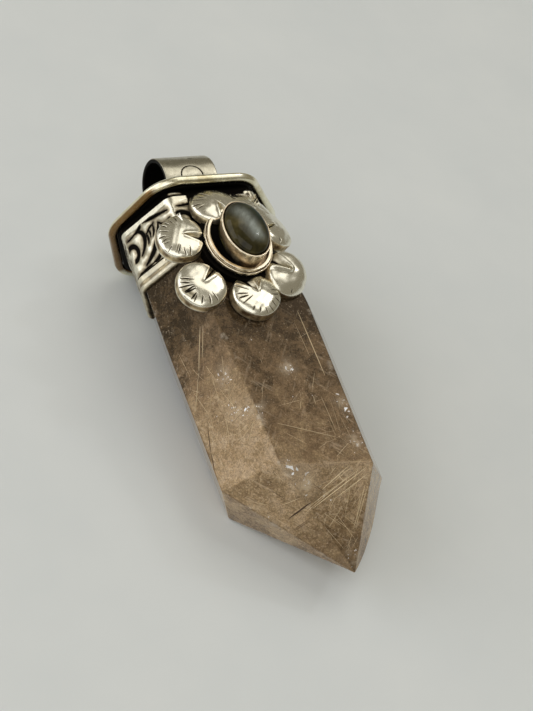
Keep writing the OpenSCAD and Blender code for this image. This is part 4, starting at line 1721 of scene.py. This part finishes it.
        # The side is bright at its foot and top edge and darker between: painted shade
        side = np.interp(z, [0.0, 0.1, 0.2, 0.3, 0.75, 1.0], [0.3, 0.9, 0.75, 0.4, 0.5, 0.85])
        polish = polish + (1 - on_top) * side
        # The petal's side above its foot takes the painted brown reflection
        wall = (1 - on_top) * smooth((z - 0.15) / 0.1) * p.painted_brown_reflection
        t, d = math.radians(p.turn), math.radians(p.droop)
        x = x + half_l
        px, pz = x * math.cos(d) + z * math.sin(d), -x * math.sin(d) + z * math.cos(d)
        px = px + p.away - half_l
        fx = lv.flower[0] + px * math.cos(t) - y * math.sin(t)
        fy = lv.flower[1] + px * math.sin(t) + y * math.cos(t)
        fz = np.maximum(lv.petal_base + p.rise + pz, self.floor_under(fx, fy))
        return np.stack([fx, fy, fz], -1), {"polish": polish, "wall": wall}

    def build(self, pose: Resting) -> None:
        """Makes the petals and the plate under them.

        Args:
            pose: Lays the pieces down.
        """
        silver = AgedSilver("petal_silver", (0.90, 0.87, 0.75), (0.50, 0.45, 0.33), 0.19, 0.004)
        for k, p in enumerate(self.petals):
            shell = Shell(f"petal_{k + 1}")
            grid, marks = self.petal(p, 100 + k)
            shell.add(grid, **marks)
            shell.build(pose, silver, "flower_silver", "flower", sharp=75)
        lv = self.levels
        core = Shell("flower_plate")
        wide, long = np.array(lv.ring) / 2
        wider, longer, wide, long = wide + 0.4, long + 0.4, wide - 0.1, long - 0.1
        top = lv.petal_edge - HAIR
        line = [[wider, longer, 0], [wider, longer, 0.95], [wide, long, 1.0], [wide, long, top]]
        core.add(oval_body(np.array(line), (*lv.setting, lv.petal_base), 160, 31), polish=0.05)
        core.build(pose, silver, "flower_silver", "flower")


def oval_body(line: np.ndarray, place: Place, around: int, seed: int, wobble: float = 0.0) -> np.ndarray:
    """A profile carried round an oval: each of its points is (half width, half length, height).

    A point at angle a lies at (half width cos a, half length sin a, height), with a slight unevenness
    of two sine waves in width and two in height.

    Args:
        line: The profile's points.
        place: Where the oval's middle and its base lie.
        around: Points round the oval.
        seed: Makes the unevenness its own.
        wobble: The unevenness in millimetres.

    Returns:
        The points of shape (rows, columns, 3).
    """
    rng = np.random.default_rng(seed)
    a = np.linspace(0, 2 * np.pi, around, endpoint=False)[None]
    shift = rng.uniform(0, 6.28, 4)  # each wave starts at its own angle
    uneven = wobble * (np.sin(2 * a + shift[0]) + 0.6 * np.sin(5 * a + shift[1])) * (line[:, :1] > 0.5)
    lift = 0.5 * wobble * (np.sin(3 * a + shift[2]) + 0.5 * np.sin(7 * a + shift[3])) * (line[:, 2:] > 0.3)
    x = place[0] + (line[:, :1] - np.abs(uneven)) * np.cos(a)
    y = place[1] + (line[:, 1:2] - np.abs(uneven)) * np.sin(a)
    z = place[2] + line[:, 2:] - np.abs(lift)
    return np.stack([x, y, z * np.ones(a.shape)], -1)


@dataclass
class Setting:
    """The oval cup with its thin lip on a stepped ring, and the cabochon in it.

    "stone" is the cabochon's width and length and "dome" its height over the cup, "wall" and "ring_wall"
    how thick the cup and the ring are, "step_w" and "step_h" the ring's step, "gutter" the height of the
    floor between them, and "taper" how much narrower the cup's foot is.
    """

    levels: Levels
    stone: tuple[float, float] = (5.0, 7.0)
    dome: float = 1.2
    wall: float = 0.3
    step_w: float = 0.2
    step_h: float = 0.47
    ring_wall: float = 0.6
    gutter: float = 0.25
    taper: float = 0.35

    def bezel(self) -> tuple[np.ndarray, dict[str, np.ndarray]]:
        """The ring, its gutter, the cup's wall, the lip and the hollow, as one profile.

        Returns:
            The points of shape (rows, columns, 3) and the marks by name.
        """
        lv = self.levels
        a, b = np.array(lv.ring) / 2
        p, q = self.stone[0] / 2 + self.wall, self.stone[1] / 2 + self.wall
        s, t = self.stone[0] / 2 + HAIR, self.stone[1] / 2 + HAIR
        top = lv.ring_h + lv.cup_h
        w, c = self.ring_wall, self.step_w
        line = [
            [0.3, 0.3, 0], [a, b, 0], [a, b, self.step_h], [a - c, b - c, self.step_h],
            [a - c, b - c, lv.ring_h], [a - w, b - w, lv.ring_h], [a - w, b - w, self.gutter],
            [p, q, self.gutter], [p, q, top - 0.3], [p + 0.03, q + 0.03, top - 0.2],
            [p + 0.03, q + 0.03, top], [s, t, top], [s, t, lv.ring_h], [0.3, 0.3, lv.ring_h],
        ]  # fmt: skip
        line = filleted(np.array(line), 0.11, 5)
        grid = oval_body(line, (*lv.setting, lv.ring_base), 260, 33, 0.03)
        z = line[:, 2]
        narrow = self.taper * (1 - smooth((z - self.gutter) / (top - 0.4)))
        narrow = narrow * (line[:, 0] < p + 0.1) * (z > 0.1)
        inward = unit(grid[..., :2] - np.array(lv.setting))
        grid[..., :2] -= narrow[:, None, None] * inward - narrow[:, None, None] * [0.35, -0.45]
        outside = (line[:, 0] > p - 0.2).astype(float)
        in_gutter = (line[:, 0] < a - w + 0.05) & (z < 0.75)
        cup = (line[:, 0] < p + 0.02) & (z > 0.7) & (z < top - 0.24)
        polish = np.where(in_gutter, 0.0, 0.95) * outside
        turn = np.linspace(0, 2 * np.pi, 260, endpoint=False)[None]
        polish = np.where(cup, 0.85, polish)
        on_step = (z > 0.38) & (z < 0.5) & (line[:, 0] < a - 0.08) & (line[:, 0] > a - c - 0.05)
        polish = np.where(on_step, 0.25, polish)
        # The gutter's floor is lighter round one side of the oval
        lower = smooth((np.cos(turn + 1.1) - 0.2) / 0.6)
        polish = np.where(in_gutter[:, None], 0.5 * lower, polish[:, None])
        # Streaks of painted brown reflection round the cup's wall
        streak = 0.5 + 0.3 * np.sin(5 * turn + 1.0) + 0.25 * np.sin(11 * turn + 2.2)
        return grid, {"polish": polish, "wall": cup[:, None] * np.clip(streak, 0.05, 0.95)}

    def cabochon(self) -> tuple[np.ndarray, dict[str, np.ndarray]]:
        """The stone: an upright girdle and a dome whose height is dome sin(t) at the share cos(t).

        Returns:
            The points of shape (rows, columns, 3) and the marks by name.
        """
        lv = self.levels
        a, b = self.stone[0] / 2, self.stone[1] / 2
        t = np.linspace(0, np.pi / 2 * 0.995, 40)
        rise = np.column_stack([a * np.cos(t), b * np.cos(t), lv.cup_h + self.dome * np.sin(t)])
        girdle = [[0.5 * a, 0.5 * b, 0], [0.98 * a, 0.98 * b, 0], [a, b, 0.05], [a, b, lv.cup_h * 0.5]]
        base = (*lv.setting, lv.ring_base + lv.ring_h + HAIR)
        grid = oval_body(np.concatenate([girdle, rise]), base, 120, 35)
        x, y = grid[..., 0] - lv.setting[0], grid[..., 1] - lv.setting[1]
        # The painted sheen: a blue-grey band across the stone
        across = x * 0.95 + y * 0.28 - 0.1
        sheen = np.exp(-((across / 0.8) ** 2)) * smooth((y + 2.9) / 1.8) * smooth((3.3 - y) / 2.2)
        teal = smooth((x * 0.85 + y * 0.45 - 0.7) / 1.8)
        return grid, {"sheen": 0.8 * sheen, "teal": 0.8 * teal}

    def build(self, pose: Resting) -> None:
        """Makes the bezel and the cabochon.

        Args:
            pose: Lays the pieces down.
        """
        shell = Shell("bezel_cup")
        grid, marks = self.bezel()
        shell.add(grid, **marks)
        silver = AgedSilver("bezel_silver_rubbed", (0.88, 0.79, 0.63), (0.52, 0.38, 0.23), 0.18, 0.004)
        shell.build(pose, silver, "bezel_silver", "bezel")
        stone = Shell("cabochon_stone")
        grid, marks = self.cabochon()
        stone.add(grid, **marks)
        stone.build(pose, DarkLabradorite(), "labradorite", "cabochon")


# ---------------------------------------------------------------- the studio


@dataclass(frozen=True)
class Lamp:
    """A square soft lamp: its place and size in metres, its watts and its tint."""

    name: str
    place: Place
    size: float
    watts: float
    tint: Colour


@dataclass
class Studio:
    """A pale table, soft lamps and the camera, in metres; the focal length is in the photograph's pixels."""

    eye: Place = (-0.08786, -0.09123, 0.13991)
    forward: Place = (0.4881, 0.49951, -0.7157)
    up: Place = (0.1166, 0.77536, 0.62062)
    focal_px: float = 1600.0
    frame_height_px: int = 711
    lamps: tuple[Lamp, ...] = (
        Lamp("overhead_lamp", (0.29, 0.2375, 0.822), 0.66, 1.6, (1.0, 0.975, 0.91)),
        Lamp("window_lamp", (-0.74, 0.315, 0.347), 0.80, 3.2, (0.99, 0.99, 1.0)),
        Lamp("fill_lamp", (-0.45, -0.45, 0.638), 0.90, 2.9, (1.0, 0.99, 0.97)),
        Lamp("pin_lamp", (0.4529, 0.1179, 0.6322), 0.03, 0.13, (1.0, 1.0, 1.0)),
        Lamp("second_pin_lamp", (0.4999, 0.1035, 0.6111), 0.025, 0.065, (1.0, 1.0, 1.0)),
    )
    aim: Place = (0.0, 0.0, 0.013)
    room: Colour = (0.84, 0.77, 0.60)
    room_strength: float = 0.27
    table_size: float = 6.0

    def camera(self) -> None:
        """Sets the camera at the photograph's angle."""
        data = bpy.data.cameras.new("camera")
        data.sensor_fit = "VERTICAL"
        data.sensor_height = 36.0
        data.lens = self.focal_px / self.frame_height_px * data.sensor_height
        data.clip_start, data.clip_end = 0.01, 20.0
        piece = bpy.data.objects.new("camera", data)
        f = Vector(self.forward).normalized()
        right = f.cross(Vector(self.up)).normalized()
        up = right.cross(f)
        turn = Matrix((right, up, -f)).transposed().to_4x4()
        piece.matrix_world = Matrix.Translation(Vector(self.eye)) @ turn
        bpy.context.scene.collection.objects.link(piece)
        bpy.context.scene.camera = piece

    def light(self, lamp: Lamp) -> None:
        """Hangs a lamp and aims it at the pendant.

        Args:
            lamp: The lamp.
        """
        data = bpy.data.lights.new(lamp.name, "AREA")
        data.shape, data.size, data.energy, data.color = "SQUARE", lamp.size, lamp.watts, lamp.tint
        piece = bpy.data.objects.new(lamp.name, data)
        piece.location = lamp.place
        piece.rotation_euler = (Vector(self.aim) - Vector(lamp.place)).to_track_quat("-Z", "Y").to_euler()
        bpy.context.scene.collection.objects.link(piece)

    def table(self) -> None:
        """A flat pale table under the pendant."""
        mesh = bpy.data.meshes.new("table")
        edge = self.table_size / 2
        corners = [(-edge, -edge, 0), (edge, -edge, 0), (edge, edge, 0), (-edge, edge, 0)]
        mesh.from_pydata(corners, [], [(0, 1, 2, 3)])
        mesh.materials.append(PaleTable().material())
        piece = bpy.data.objects.new("table", mesh)
        bpy.context.scene.collection.objects.link(piece)

    def build(self) -> None:
        """Makes the table, the lamps, the sky and the camera."""
        self.camera()
        self.table()
        for lamp in self.lamps:
            self.light(lamp)
        world = bpy.data.worlds.new("soft_room")
        world.use_nodes = True
        sky = world.node_tree.nodes["Background"].inputs
        sky["Color"].default_value, sky["Strength"].default_value = (*self.room, 1.0), self.room_strength
        bpy.context.scene.view_settings.view_transform = "Standard"
        bpy.context.scene.world = world


def main() -> None:
    """Builds the studio and every piece of the pendant in order, and logs each piece as it goes."""
    logging.basicConfig(level=logging.INFO, format="%(name)s: %(message)s")
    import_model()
    stone, levels = Stone(), Levels()
    pose = Resting(stone, levels)
    Studio().build()
    parts = (Crystal(stone, levels), Cap(stone, levels), Bail(levels), Flower(stone, levels), Setting(levels))
    for part in parts:
        LOG.info("building %s", type(part).__name__)
        part.build(pose)


if __name__ == "__main__":
    main()
